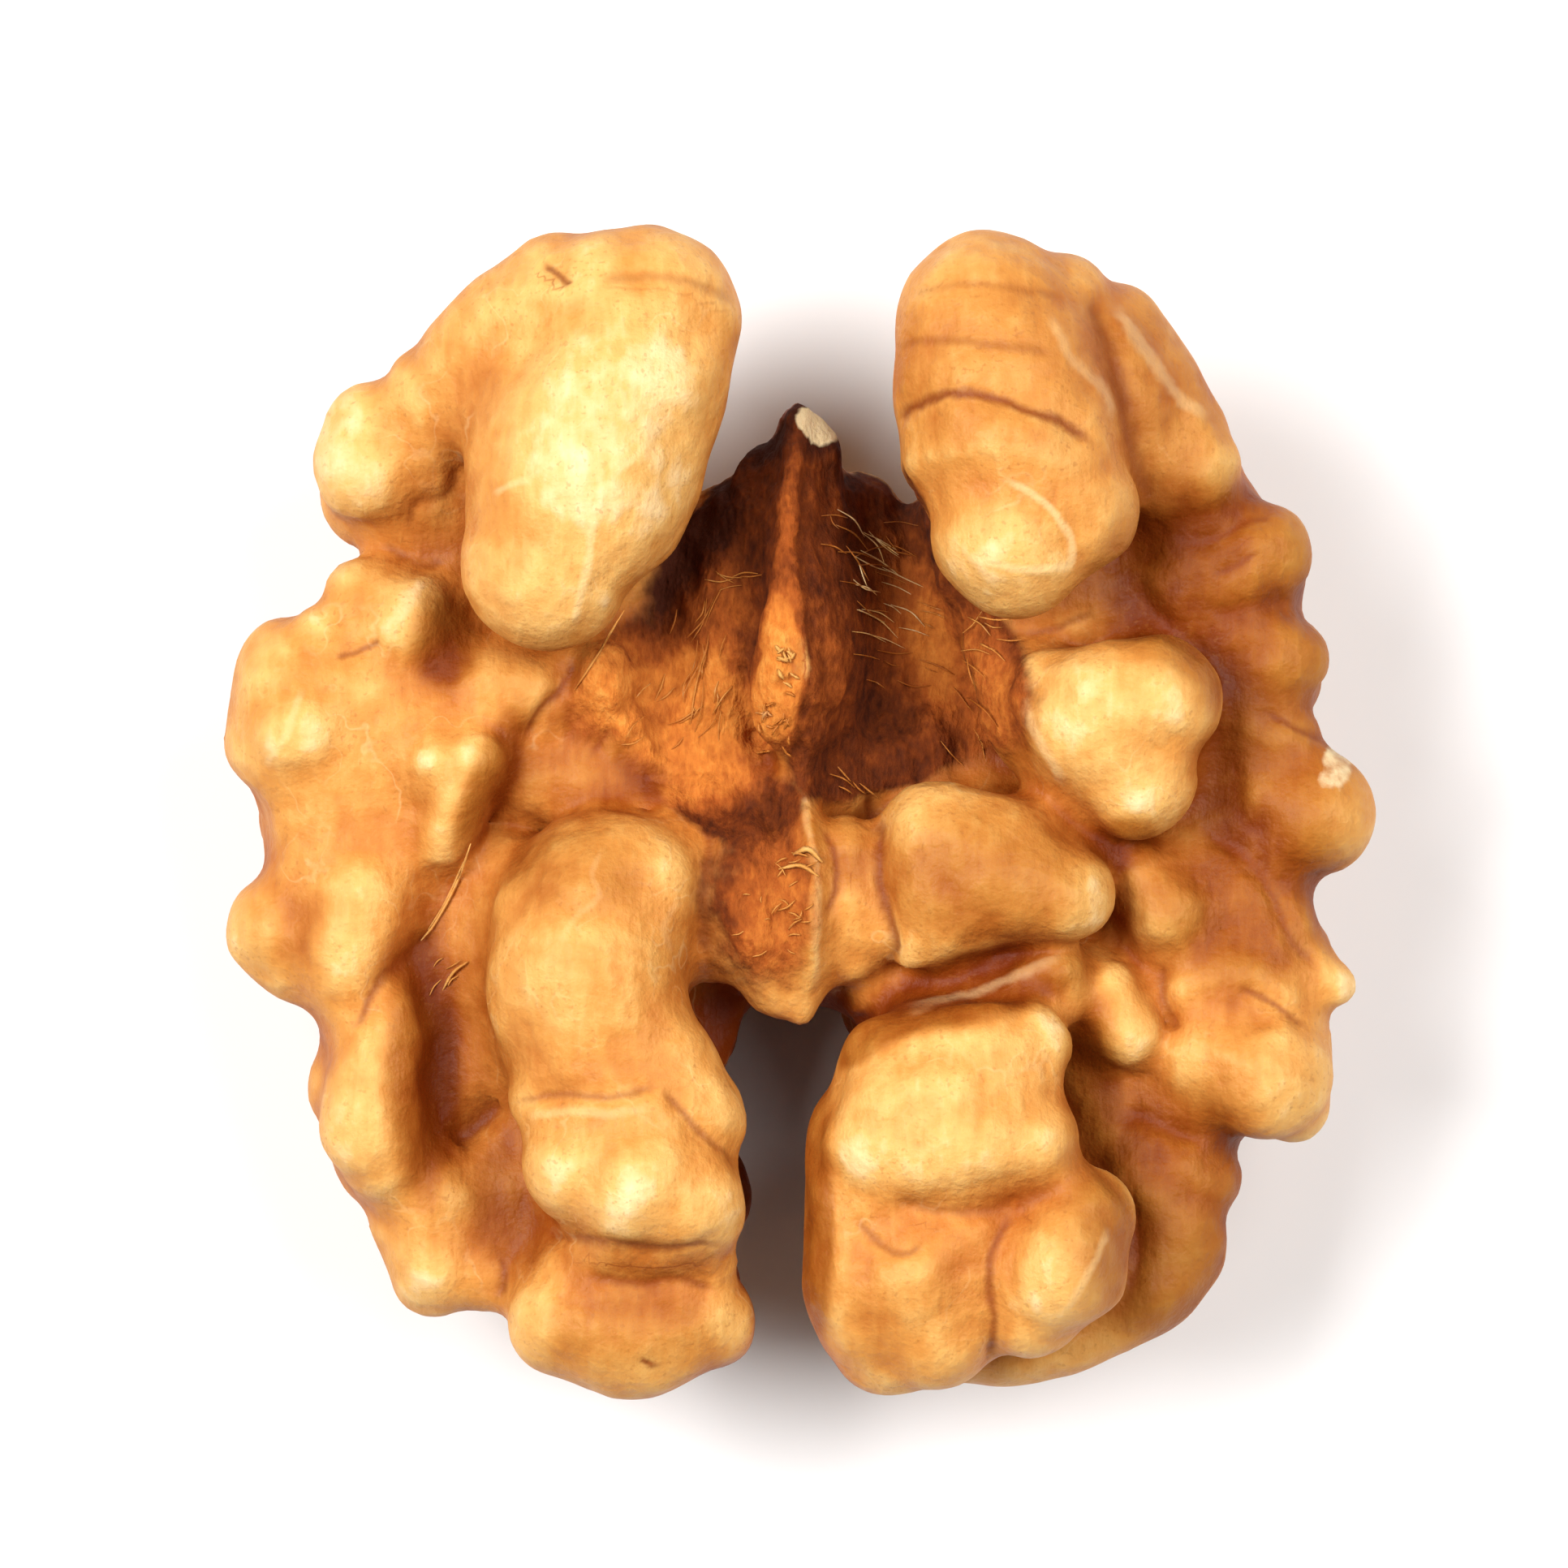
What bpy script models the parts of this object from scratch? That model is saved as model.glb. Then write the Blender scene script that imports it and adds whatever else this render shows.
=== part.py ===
"""Walnut kernel: one shelled half, lying on its round back with the ridged inner side up.

The kernel is one solid. It is a table of plump folds, each a round profile carried along a short
crest line. The folds are fused into one skin, the creases between them are eased, and a small flat
spot is cut under the back for the kernel to rest on.

Working unit is the millimetre. X is across the kernel, +Y points to the notch between the two
upper arms, and Z is up. The finished mesh is in metres.
"""
import math

import bmesh
import bpy
import numpy as np

MM = 0.001

# Driving sizes of the round back: half width, half length, height of the rim and depth of the bowl.
BACK_HALF_WIDTH = 16.0
BACK_HALF_LENGTH = 16.4
RIM_HEIGHT = 9.6
BACK_DEPTH = 9.75

# Fineness of the fused skin, passes that ease its creases, and number of finished facets.
SKIN_STEP = 0.28
CREASE_EASING = 3
FACETS = 11000

# Height of the slice cut off under the back, and how close a point counts as on the cut.
REST_CUT = 0.22
SNAP = 0.01

# Round profile of a fold, steps between two points of a crest line, and half length of a ball.
PROFILE_SIDES = 20
DOME_RINGS = 5
STEPS_PER_SPAN = 6
BALL_STRETCH = 0.1

# The folds of the inner side. A fold is (height over half width of its profile, crest line), and a
# point of the crest line is (x, y, crest height, half width).
INNER_FOLDS = {
    # the two tall arms beside the notch
    "left_arm": (1.05, [(-4.1, 13.9, 14.8, 2.6), (-4.9, 12.0, 15.7, 3.05), (-6.1, 9.0, 16.1, 3.2),
                        (-6.9, 6.9, 15.5, 2.35)]),
    "right_arm": (1.05, [(5.3, 13.9, 14.4, 2.4), (5.75, 11.6, 15.3, 3.0), (6.4, 9.0, 15.7, 3.1),
                         (6.8, 8.0, 15.2, 2.6)]),
    # left shoulder, ball and ledge
    "left_shoulder": (1.1, [(-6.4, 14.1, 14.2, 2.2), (-8.5, 13.0, 13.2, 1.95), (-10.2, 11.6, 11.8, 1.45)]),
    "left_shoulder_fill": (1.1, [(-5.6, 13.6, 14.5, 2.2), (-7.4, 12.6, 13.8, 2.0)]),
    "left_ball": (1.1, [(-11.9, 10.4, 11.5, 1.55), (-12.1, 9.7, 11.8, 1.65)]),
    "left_ledge": (1.2, [(-11.4, 7.9, 9.6, 0.9), (-9.6, 7.4, 10.0, 0.9)]),
    # left side, from the notch under the ball to the foot
    "left_knob": (1.2, [(-12.2, 6.1, 10.6, 1.1), (-10.8, 5.3, 11.6, 1.6)]),
    "left_big": (1.2, [(-14.2, 3.7, 11.2, 1.7), (-14.3, 2.0, 11.2, 1.9)]),
    "left_big_bump": (1.2, [(-13.7, 2.1, 12.3, 1.35)]),
    "left_big_brow": (1.2, [(-13.2, 4.8, 10.8, 0.9), (-12.2, 4.2, 10.8, 1.0), (-11.2, 3.3, 10.9, 1.1)]),
    "left_plateau": (1.2, [(-13.0, 0.2, 11.0, 2.1), (-11.4, 1.6, 11.2, 1.9)]),
    "left_plateau_low": (1.2, [(-13.0, -1.2, 10.8, 1.8), (-11.4, -1.0, 10.9, 1.7)]),
    "left_finger": (1.4, [(-9.1, 1.5, 12.0, 0.95), (-9.5, 0.4, 11.8, 0.95), (-9.9, -0.7, 11.2, 0.85)]),
    "left_finger_bump": (1.2, [(-10.1, 1.4, 11.9, 0.6)]),
    "left_bulge": (1.2, [(-14.4, -3.3, 10.6, 1.55), (-13.9, -4.2, 10.4, 1.3)]),
    "left_long": (1.3, [(-12.2, -2.2, 11.6, 1.4), (-12.5, -3.8, 11.6, 1.45), (-12.5, -5.2, 10.9, 1.15)]),
    "left_low_finger": (1.3, [(-11.6, -5.4, 10.8, 1.0), (-12.0, -7.2, 11.2, 1.3), (-12.0, -8.7, 11.0, 1.4),
                              (-11.5, -10.0, 10.0, 1.15)]),
    "left_foot": (1.2, [(-10.9, -11.2, 9.8, 1.3), (-10.2, -12.5, 10.2, 1.6)]),
    "left_foot_inner": (1.3, [(-8.4, -11.4, 9.4, 0.9), (-8.8, -13.0, 9.6, 1.1)]),
    # lower left column
    "left_column": (1.15, [(-5.5, -2.7, 13.6, 2.6), (-5.9, -4.6, 14.3, 2.8), (-5.6, -6.2, 14.0, 2.7)]),
    "left_column_brow": (1.2, [(-7.0, -2.9, 12.9, 1.6), (-5.6, -1.9, 13.3, 1.8), (-4.2, -2.0, 13.1, 1.7)]),
    "left_column_flank": (1.2, [(-8.0, -1.8, 10.4, 1.3), (-8.6, -3.2, 10.4, 1.4), (-8.5, -5.0, 9.8, 1.2)]),
    "left_column_cheek": (1.2, [(-3.9, -7.0, 13.5, 1.6), (-2.75, -8.5, 13.3, 1.4)]),
    "left_column_low": (1.15, [(-5.9, -9.8, 14.0, 1.85), (-4.5, -10.3, 14.6, 2.4), (-3.3, -10.9, 14.0, 1.9)]),
    "left_pad": (1.2, [(-5.4, -12.5, 12.2, 0.9), (-4.0, -12.9, 12.4, 1.0), (-2.6, -12.6, 12.0, 1.0)]),
    "left_end": (1.2, [(-6.5, -14.2, 11.8, 1.65), (-4.6, -14.6, 12.4, 1.9), (-2.8, -14.1, 11.8, 1.65)]),
    # middle: the joining strap, its keel, and the roof-like ridge above it
    "strap": (1.2, [(-1.2, -1.2, 11.4, 1.5), (-1.0, -2.9, 11.9, 1.7), (-0.2, -4.4, 11.2, 1.4)]),
    "strap_right": (1.3, [(1.35, -1.1, 11.9, 0.95), (1.4, -2.5, 12.0, 1.1), (1.5, -3.8, 11.2, 0.9)]),
    "strap_bridge": (1.2, [(-3.0, -1.0, 11.0, 1.2), (-2.6, -3.0, 11.2, 1.2), (-2.4, -4.0, 10.4, 0.9)]),
    "keel": (2.5, [(0.15, 0.4, 11.4, 0.3), (0.45, -1.5, 12.3, 0.3), (0.45, -3.5, 12.2, 0.3),
                   (0.2, -5.4, 10.6, 0.3)]),
    "roof_ridge": (2.4, [(0.0, 10.6, 9.8, 0.55), (-0.2, 8.5, 11.2, 0.6), (-0.2, 6.4, 12.1, 0.75),
                         (0.1, 4.2, 12.6, 1.0), (0.0, 2.4, 12.0, 0.9), (0.0, 0.8, 11.0, 0.5)]),
    "roof_left": (1.6, [(-0.8, 9.4, 9.2, 1.0), (-1.5, 7.0, 10.2, 1.7), (-2.1, 4.4, 10.7, 2.2),
                        (-2.2, 2.9, 10.4, 1.7)]),
    "roof_left_low": (1.4, [(-2.2, 8.1, 7.8, 1.2), (-3.4, 6.2, 8.6, 1.8), (-4.3, 4.3, 9.3, 1.8),
                            (-4.4, 3.0, 9.4, 1.4)]),
    "roof_right": (2.2, [(0.55, 9.4, 9.6, 0.9), (0.6, 7.0, 10.6, 1.2), (0.75, 4.6, 11.2, 1.4),
                         (0.6, 2.6, 10.6, 1.2)]),
    "roof_right_low": (1.4, [(1.7, 8.4, 7.6, 1.2), (2.1, 6.0, 7.8, 1.5), (2.4, 3.6, 7.6, 1.5)]),
    "roof_skirt": (1.0, [(-4.6, 1.7, 9.6, 0.7), (-3.0, 1.3, 9.9, 0.65), (-1.5, 1.1, 10.2, 0.65),
                         (-0.3, 0.8, 10.4, 0.6)]),
    "left_column_skirt": (1.2, [(-8.2, -6.0, 9.8, 1.1), (-8.0, -8.6, 9.2, 1.1), (-7.7, -10.8, 9.8, 1.1)]),
    "left_slope": (1.2, [(-8.0, 4.0, 10.2, 1.5), (-6.4, 3.0, 9.9, 1.6), (-5.2, 2.2, 9.6, 1.3)]),
    "left_slope_low": (1.2, [(-8.6, 2.6, 9.6, 1.2), (-7.4, 1.2, 9.0, 1.3), (-6.0, 0.9, 8.8, 1.2)]),
    # right shoulder and outer side
    "right_shoulder": (1.3, [(7.4, 14.0, 12.8, 1.5), (8.7, 12.2, 13.0, 1.3), (9.7, 10.2, 12.2, 1.2),
                             (9.9, 9.0, 11.4, 1.0)]),
    "right_outer_shoulder": (1.2, [(8.9, 13.4, 11.8, 1.5), (10.1, 12.0, 11.7, 1.4),
                                   (11.0, 10.3, 11.6, 1.35)]),
    "right_ball": (1.2, [(11.2, 9.7, 11.6, 1.2)]),
    "right_upper": (1.2, [(11.9, 7.9, 10.0, 0.9), (13.0, 7.3, 10.4, 1.3)]),
    "right_second": (1.2, [(12.7, 5.3, 10.0, 1.1), (13.6, 4.2, 10.1, 1.15)]),
    "right_rubble_a": (1.2, [(9.6, 6.6, 10.3, 1.0), (10.9, 7.5, 10.6, 0.9)]),
    "right_rubble_b": (1.2, [(10.7, 5.9, 10.4, 0.8), (12.0, 6.3, 10.7, 0.8)]),
    "right_rubble_c": (1.2, [(8.6, 5.9, 10.2, 0.8), (7.6, 5.4, 10.4, 0.8)]),
    "right_ledge": (1.2, [(10.6, 8.7, 10.4, 0.9), (11.8, 8.6, 10.2, 0.7)]),
    "right_third": (1.2, [(12.5, 2.8, 9.9, 1.1), (13.5, 2.0, 10.0, 1.1)]),
    "right_knob": (1.2, [(13.2, 0.4, 10.4, 1.4), (14.4, -0.1, 10.8, 1.75)]),
    "right_ridge": (1.4, [(12.8, -1.3, 10.0, 0.8), (13.6, -2.8, 10.0, 0.8), (14.0, -4.0, 10.0, 0.7),
                          (14.9, -4.8, 9.8, 0.65)]),
    "right_low_shelf": (1.2, [(11.4, -1.2, 9.8, 0.9), (12.2, -2.6, 9.8, 0.9)]),
    "right_small": (1.2, [(9.8, -2.2, 10.4, 0.8), (10.8, -3.1, 10.8, 1.0)]),
    "right_long": (1.3, [(8.5, -4.7, 9.8, 0.7), (9.2, -6.5, 10.1, 0.85)]),
    "right_pad": (1.2, [(11.0, -4.9, 10.6, 1.0), (12.4, -4.6, 10.8, 1.1), (13.4, -5.2, 10.6, 0.9)]),
    "right_big": (1.2, [(11.7, -7.0, 11.0, 1.6), (13.1, -7.4, 11.5, 1.8)]),
    "right_big_edge": (1.2, [(14.0, -6.3, 9.8, 0.9), (13.9, -8.3, 9.8, 1.0)]),
    "right_bridge": (1.2, [(9.4, -8.4, 9.4, 1.0), (10.8, -9.4, 9.7, 1.1)]),
    # heart and triangle lobes, and the strut under them
    "heart_upper": (1.15, [(6.9, 3.3, 12.0, 1.2), (8.5, 2.9, 13.6, 1.9), (10.0, 3.1, 13.9, 1.85)]),
    "heart_lower": (1.15, [(8.3, 2.3, 13.6, 1.9), (9.6, 0.8, 13.3, 1.65)]),
    "heart_neck": (1.2, [(5.9, 4.6, 10.0, 1.2), (6.3, 2.8, 10.2, 1.2), (7.4, 1.0, 10.2, 1.1)]),
    "triangle": (1.15, [(4.0, -0.9, 12.8, 1.85), (5.8, -1.6, 13.3, 2.0), (7.4, -2.2, 12.8, 1.4)]),
    "triangle_root": (1.15, [(3.3, -3.4, 12.1, 1.05), (5.0, -3.0, 12.3, 1.0)]),
    "triangle_low": (1.15, [(3.9, -2.2, 12.8, 1.65), (4.1, -2.9, 12.5, 1.5)]),
    "trough": (1.3, [(2.6, -5.2, 9.8, 1.3), (5.0, -5.2, 10.3, 1.6), (7.2, -5.0, 10.3, 1.3)]),
    "strut": (2.2, [(2.6, -5.7, 10.0, 0.4), (5.0, -5.0, 10.9, 0.5), (7.5, -4.3, 11.3, 0.5)]),
    "strut_end": (1.6, [(7.5, -4.5, 11.3, 0.6), (7.5, -5.1, 11.0, 0.6)]),
    # lower right block
    "block_top": (1.15, [(2.9, -7.7, 13.2, 1.95), (5.0, -7.1, 13.7, 1.5), (6.5, -6.5, 13.0, 1.15)]),
    "block_mid": (1.15, [(2.5, -9.3, 13.8, 1.7), (4.6, -9.2, 14.4, 1.85), (6.4, -9.3, 13.9, 1.5)]),
    "block_left": (1.2, [(1.75, -8.8, 12.4, 1.45), (1.55, -11.2, 12.7, 1.4), (1.9, -13.4, 12.6, 1.65),
                         (2.7, -14.6, 12.0, 1.75)]),
    "block_low": (1.2, [(3.2, -12.5, 13.5, 1.7), (3.7, -14.2, 12.8, 1.9)]),
    "block_bright": (1.2, [(6.5, -13.6, 12.8, 1.45), (7.4, -12.4, 13.6, 1.65), (8.2, -11.2, 13.0, 1.2)]),
    "outer_plate": (1.2, [(9.6, -10.6, 10.2, 1.2), (10.7, -11.6, 10.2, 1.4), (10.0, -12.9, 9.9, 1.4),
                          (8.2, -14.2, 9.5, 1.3), (6.2, -14.9, 9.2, 1.2), (4.4, -15.0, 9.2, 1.1)]),
}

# The folds of the back run from a lobe at the rim to a foot beside the middle groove:
# (rim x, rim y, half width at the rim, foot x, foot y).
BACK_FOLDS = [
    (-5.6, 14.4, 2.4, -4.8, 7.6),
    (-9.4, 13.4, 2.1, -6.6, 6.0),
    (-13.2, 10.2, 1.8, -2.8, 4.6),
    (-14.2, 6.6, 1.6, -7.6, 3.0),
    (-15.6, 3.0, 1.9, -2.4, 1.2),
    (-14.8, -0.2, 1.7, -7.0, -1.4),
    (-15.5, -3.8, 1.8, -2.4, -2.4),
    (-13.6, -8.4, 1.6, -6.0, -5.2),
    (-11.4, -12.4, 1.8, -3.2, -6.8),
    (-7.6, -14.5, 1.7, -5.8, -10.2),
    (-4.0, -15.2, 1.9, -3.4, -10.8),
    (6.2, 14.3, 2.2, 5.4, 7.6),
    (9.6, 13.2, 1.8, 7.4, 6.4),
    (12.2, 10.2, 1.6, 2.9, 4.8),
    (14.1, 7.4, 1.5, 8.0, 2.6),
    (14.6, 4.2, 1.5, 2.4, 1.6),
    (15.8, 0.0, 1.8, 7.2, -0.8),
    (15.0, -4.6, 1.5, 2.3, -2.0),
    (14.3, -7.8, 1.7, 6.4, -4.8),
    (12.0, -11.4, 1.6, 2.6, -6.0),
    (8.6, -14.2, 1.6, 6.2, -9.6),
    (4.2, -15.4, 2.0, 2.8, -10.8),
]
BACK_WAVE = 0.7
BACK_FOOT_WIDTH = 1.3
BACK_NARROWING = 2.0
BACK_STATIONS = 5

# Bodies that fill the inside: (centre, half sizes below, height above the centre).
CORES = [
    ((-6.6, -0.3, 7.0), (5.8, 11.2, 4.9), 0.6),
    ((6.6, -0.6, 7.0), (5.8, 11.2, 4.9), 0.6),
    ((0.0, 1.2, 4.9), (4.6, 6.6, 5.05), 1.7),
    ((-11.2, 2.2, 7.4), (3.4, 6.2, 2.4), 2.6),
    ((-11.7, -6.2, 7.4), (1.7, 5.0, 2.4), 2.0),
    ((10.6, 4.4, 7.4), (3.4, 6.2, 2.6), 2.7),
    ((10.8, -4.6, 7.4), (3.4, 5.2, 2.4), 1.8),
    ((-8.0, 2.4, 7.0), (3.4, 3.6, 3.0), 2.6),
    ((9.6, -10.8, 7.4), (2.3, 2.8, 2.6), 2.0),
    ((-9.0, -11.0, 7.2), (2.1, 2.5, 2.8), 1.6),
    ((-6.6, 9.0, 8.4), (3.0, 5.2, 4.4), 2.6),
    ((6.4, 9.2, 8.4), (2.9, 5.0, 4.4), 2.6),
    ((-4.7, -10.0, 8.2), (2.7, 4.4, 4.8), 3.0),
    ((-5.6, -4.2, 8.6), (2.5, 3.5, 5.0), 3.0),
    ((4.4, -11.0, 8.2), (3.2, 4.0, 4.8), 3.2),
    ((4.8, -2.4, 8.0), (3.0, 3.2, 4.4), 2.6),
    ((5.4, -5.4, 7.0), (2.8, 2.2, 3.6), 2.6),
    ((2.9, -4.2, 7.0), (2.2, 2.2, 4.2), 2.6),
    ((0.2, -2.4, 6.0), (3.2, 3.0, 4.6), 4.0),
    ((9.0, 2.4, 8.6), (2.2, 2.2, 4.4), 2.8),
]
CORE_SIDES = 28
CORE_RINGS = 14

SKIN_COLOUR = (0.72, 0.42, 0.15, 1.0)
SKIN_ROUGHNESS = 0.45


def through_points(points):
    """A smooth line through rows of numbers, by Catmull-Rom spans."""
    rows = np.asarray(points, float)
    rows = np.vstack([2 * rows[0] - rows[1], rows, 2 * rows[-1] - rows[-2]])
    t = np.linspace(0.0, 1.0, STEPS_PER_SPAN, endpoint=False)[:, None]
    spans = []
    for a, b, c, d in zip(rows[:-3], rows[1:-2], rows[2:-1], rows[3:]):
        bend = (2 * a - 5 * b + 4 * c - d) * t ** 2 + (3 * b - a - 3 * c + d) * t ** 3
        spans.append(0.5 * (2 * b + (c - a) * t + bend))
    return np.vstack(spans + [rows[-2:-1]])


def stitched(rings):
    """Joins a stack of closed rings, and their first and last single points, into faces.

    rings has the shape (rows, sides, 3). The first and the last row are one repeated point each.
    """
    rows, sides = rings.shape[:2]
    body = np.arange((rows - 2) * sides).reshape(rows - 2, sides)
    beside = np.roll(body, -1, axis=1)
    quads = np.stack([body[:-1], body[1:], beside[1:], beside[:-1]], -1).reshape(-1, 4)
    first = body.size
    fan = [(first, int(a), int(b)) for a, b in zip(body[0], beside[0])]
    fan += [(first + 1, int(b), int(a)) for a, b in zip(body[-1], beside[-1])]
    points = np.vstack([rings[1:-1].reshape(-1, 3), rings[0, :1], rings[-1, :1]])
    return points, [tuple(int(i) for i in quad) for quad in quads] + fan


def tube(centres, radii, tall):
    """A round profile carried along a line of centres, with a dome on each end.

    The profile is a circle stretched by the factor tall across the line, away from the ground plane.
    """
    along = np.gradient(centres, axis=0)
    along /= np.linalg.norm(along, axis=1)[:, None]
    turn = np.linspace(0.0, math.pi / 2, DOME_RINGS + 1)[1:]
    head = centres[0] - along[0] * (radii[0] * np.sin(turn))[::-1, None]
    tail = centres[-1] + along[-1] * (radii[-1] * np.sin(turn))[:, None]
    line = np.vstack([head, centres, tail])
    widths = np.concatenate([radii[0] * np.cos(turn)[::-1], radii, radii[-1] * np.cos(turn)])
    along = np.vstack([np.repeat(along[:1], DOME_RINGS, 0), along, np.repeat(along[-1:], DOME_RINGS, 0)])
    side = np.cross(along, (0.0, 0.0, 1.0))
    side /= np.linalg.norm(side, axis=1)[:, None]
    over = np.cross(side, along)
    angle = np.linspace(0.0, 2 * math.pi, PROFILE_SIDES, endpoint=False)[None, :, None]
    ring = np.cos(angle) * side[:, None] + tall * np.sin(angle) * over[:, None]
    return stitched(line[:, None] + widths[:, None, None] * ring)


def inner_fold(tall, crest):
    """A fold of the inner side, given by its crest line."""
    if len(crest) == 1:
        x, y, z, width = crest[0]
        crest = [(x - BALL_STRETCH, y, z, width), (x + BALL_STRETCH, y, z, width)]
    line = through_points(crest)
    centres = line[:, :3] - np.outer(tall * line[:, 3], (0.0, 0.0, 1.0))
    return tube(centres, line[:, 3], tall)


def back_centre(x, y, width):
    """Centre of a round fold that touches the bowl of the back from inside above a place in plan."""
    reach = math.sqrt(max(0.0, 1.0 - (x / BACK_HALF_WIDTH) ** 2 - (y / BACK_HALF_LENGTH) ** 2))
    return (x * (1.0 - width / BACK_HALF_WIDTH), y * (1.0 - width / BACK_HALF_LENGTH),
            RIM_HEIGHT - (BACK_DEPTH - width) * reach)


def back_fold(number, rim_x, rim_y, rim_width, foot_x, foot_y):
    """A fold of the back: it leaves the rim, sways once to each side and ends beside the groove."""
    span = np.array([foot_x - rim_x, foot_y - rim_y])
    across = np.array([-span[1], span[0]]) / np.linalg.norm(span)
    sway = BACK_WAVE * (-1) ** number
    rows = []
    for share in np.linspace(0.0, 1.0, BACK_STATIONS):
        place = np.array([rim_x, rim_y]) + span * share + across * sway * math.sin(2 * math.pi * share)
        width = BACK_FOOT_WIDTH + (rim_width - BACK_FOOT_WIDTH) * (1.0 - share) ** BACK_NARROWING
        rows.append((*back_centre(place[0], place[1], width), width))
    line = through_points(rows)
    return tube(line[:, :3], line[:, 3], 1.0)


def core(centre, half, above):
    """An egg-like body with its own height above and below its centre."""
    polar = np.linspace(0.0, math.pi, CORE_RINGS + 1)[:, None]
    turn = np.linspace(0.0, 2 * math.pi, CORE_SIDES, endpoint=False)[None]
    up = np.cos(polar) + 0.0 * turn
    rings = np.stack([half[0] * np.sin(polar) * np.cos(turn), half[1] * np.sin(polar) * np.sin(turn),
                      np.where(up > 0.0, above, half[2]) * up], -1)
    return stitched(rings + np.asarray(centre))


def joined_mesh(name, pieces):
    """One mesh of many closed pieces, with every piece facing out."""
    points = []
    faces = []
    start = 0
    for piece_points, piece_faces in pieces:
        points.append(piece_points)
        faces += [tuple(i + start for i in face) for face in piece_faces]
        start += len(piece_points)
    mesh = bpy.data.meshes.new(name)
    mesh.from_pydata(np.vstack(points).tolist(), [], faces)
    solid = bmesh.new()
    solid.from_mesh(mesh)
    bmesh.ops.recalc_face_normals(solid, faces=solid.faces)
    solid.to_mesh(mesh)
    solid.free()
    return mesh


def with_modifiers(obj):
    """The object's mesh as its modifiers leave it; the modifiers are removed."""
    graph = bpy.context.evaluated_depsgraph_get()
    mesh = bpy.data.meshes.new_from_object(obj.evaluated_get(graph))
    obj.modifiers.clear()
    obj.data = mesh
    return mesh


def keep_largest_island(mesh):
    """Drops every island of faces but the one with the most points, such as a sealed hollow."""
    solid = bmesh.new()
    solid.from_mesh(mesh)
    left = set(solid.verts)
    islands = []
    while left:
        todo = [left.pop()]
        island = list(todo)
        while todo:
            for edge in todo.pop().link_edges:
                for vert in edge.verts:
                    if vert in left:
                        left.discard(vert)
                        todo.append(vert)
                        island.append(vert)
        islands.append(island)
    islands.sort(key=len)
    for island in islands[:-1]:
        bmesh.ops.delete(solid, geom=island, context="VERTS")
    solid.to_mesh(mesh)
    solid.free()


def fuse(obj):
    """Fuses the folds into one skin and eases the creases between them."""
    remesh = obj.modifiers.new("fuse", "REMESH")
    remesh.mode = "VOXEL"
    remesh.voxel_size = SKIN_STEP
    ease = obj.modifiers.new("ease", "SMOOTH")
    ease.factor = 0.5
    ease.iterations = CREASE_EASING
    keep_largest_island(with_modifiers(obj))


def reduce_facets(obj):
    """Brings the skin down to the wanted number of triangles."""
    obj.modifiers.new("triangles", "TRIANGULATE")
    with_modifiers(obj)
    fewer = obj.modifiers.new("fewer", "DECIMATE")
    fewer.ratio = FACETS / len(obj.data.polygons)
    fewer.use_collapse_triangulate = True
    with_modifiers(obj)


def cut_rest_spot(mesh):
    """Cuts the lowest part off by a level plane and fills the cut flat."""
    solid = bmesh.new()
    solid.from_mesh(mesh)
    level = min(vert.co.z for vert in solid.verts) + REST_CUT
    everything = solid.verts[:] + solid.edges[:] + solid.faces[:]
    cut = bmesh.ops.bisect_plane(solid, geom=everything, dist=SNAP, plane_co=(0.0, 0.0, level),
                                 plane_no=(0.0, 0.0, -1.0), clear_outer=True)
    for vert in solid.verts:
        if vert.co.z < level + SNAP:
            vert.co.z = level
    rim = [item for item in cut["geom_cut"] if isinstance(item, bmesh.types.BMEdge)]
    bmesh.ops.holes_fill(solid, edges=rim)
    bmesh.ops.triangulate(solid, faces=solid.faces)
    bmesh.ops.recalc_face_normals(solid, faces=solid.faces)
    solid.to_mesh(mesh)
    solid.free()


def set_on_origin(mesh):
    """Moves the middle of the footprint to X = Y = 0 and the rest spot to Z = 0, in metres."""
    points = np.empty(3 * len(mesh.vertices), np.float32)
    mesh.vertices.foreach_get("co", points)
    points = points.reshape(-1, 3)
    low = points.min(axis=0)
    high = points.max(axis=0)
    points -= (0.5 * (low[0] + high[0]), 0.5 * (low[1] + high[1]), low[2])
    mesh.vertices.foreach_set("co", (points * MM).ravel())
    mesh.update()


def skin_material():
    """Dry brown seed coat."""
    material = bpy.data.materials.new("walnut_seed_coat")
    material.use_nodes = True
    shader = material.node_tree.nodes["Principled BSDF"]
    shader.inputs["Base Color"].default_value = SKIN_COLOUR
    shader.inputs["Roughness"].default_value = SKIN_ROUGHNESS
    shader.inputs["Metallic"].default_value = 0.0
    return material


def main():
    for obj in list(bpy.data.objects):
        bpy.data.objects.remove(obj, do_unlink=True)
    pieces = [inner_fold(tall, crest) for tall, crest in INNER_FOLDS.values()]
    pieces += [back_fold(number, *row) for number, row in enumerate(BACK_FOLDS)]
    pieces += [core(*row) for row in CORES]
    kernel = bpy.data.objects.new("kernel", joined_mesh("kernel", pieces))
    bpy.context.scene.collection.objects.link(kernel)
    fuse(kernel)
    reduce_facets(kernel)
    cut_rest_spot(kernel.data)
    set_on_origin(kernel.data)
    kernel.data.materials.clear()
    kernel.data.materials.append(skin_material())
    kernel.data.shade_smooth()


main()
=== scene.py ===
"""Looks of the walnut kernel: one shelled half, ridged inner side up, under soft studio light.

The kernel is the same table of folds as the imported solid, fused on a finer step and then given what
the solid leaves out: creases, wrinkles, the fibrous membrane, veins, broken flesh and loose fibres.

Working unit of the shapes is the millimetre, in the solid's own frame before it is centred. Every
mesh ends in metres in the frame's coordinates.
"""

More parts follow.
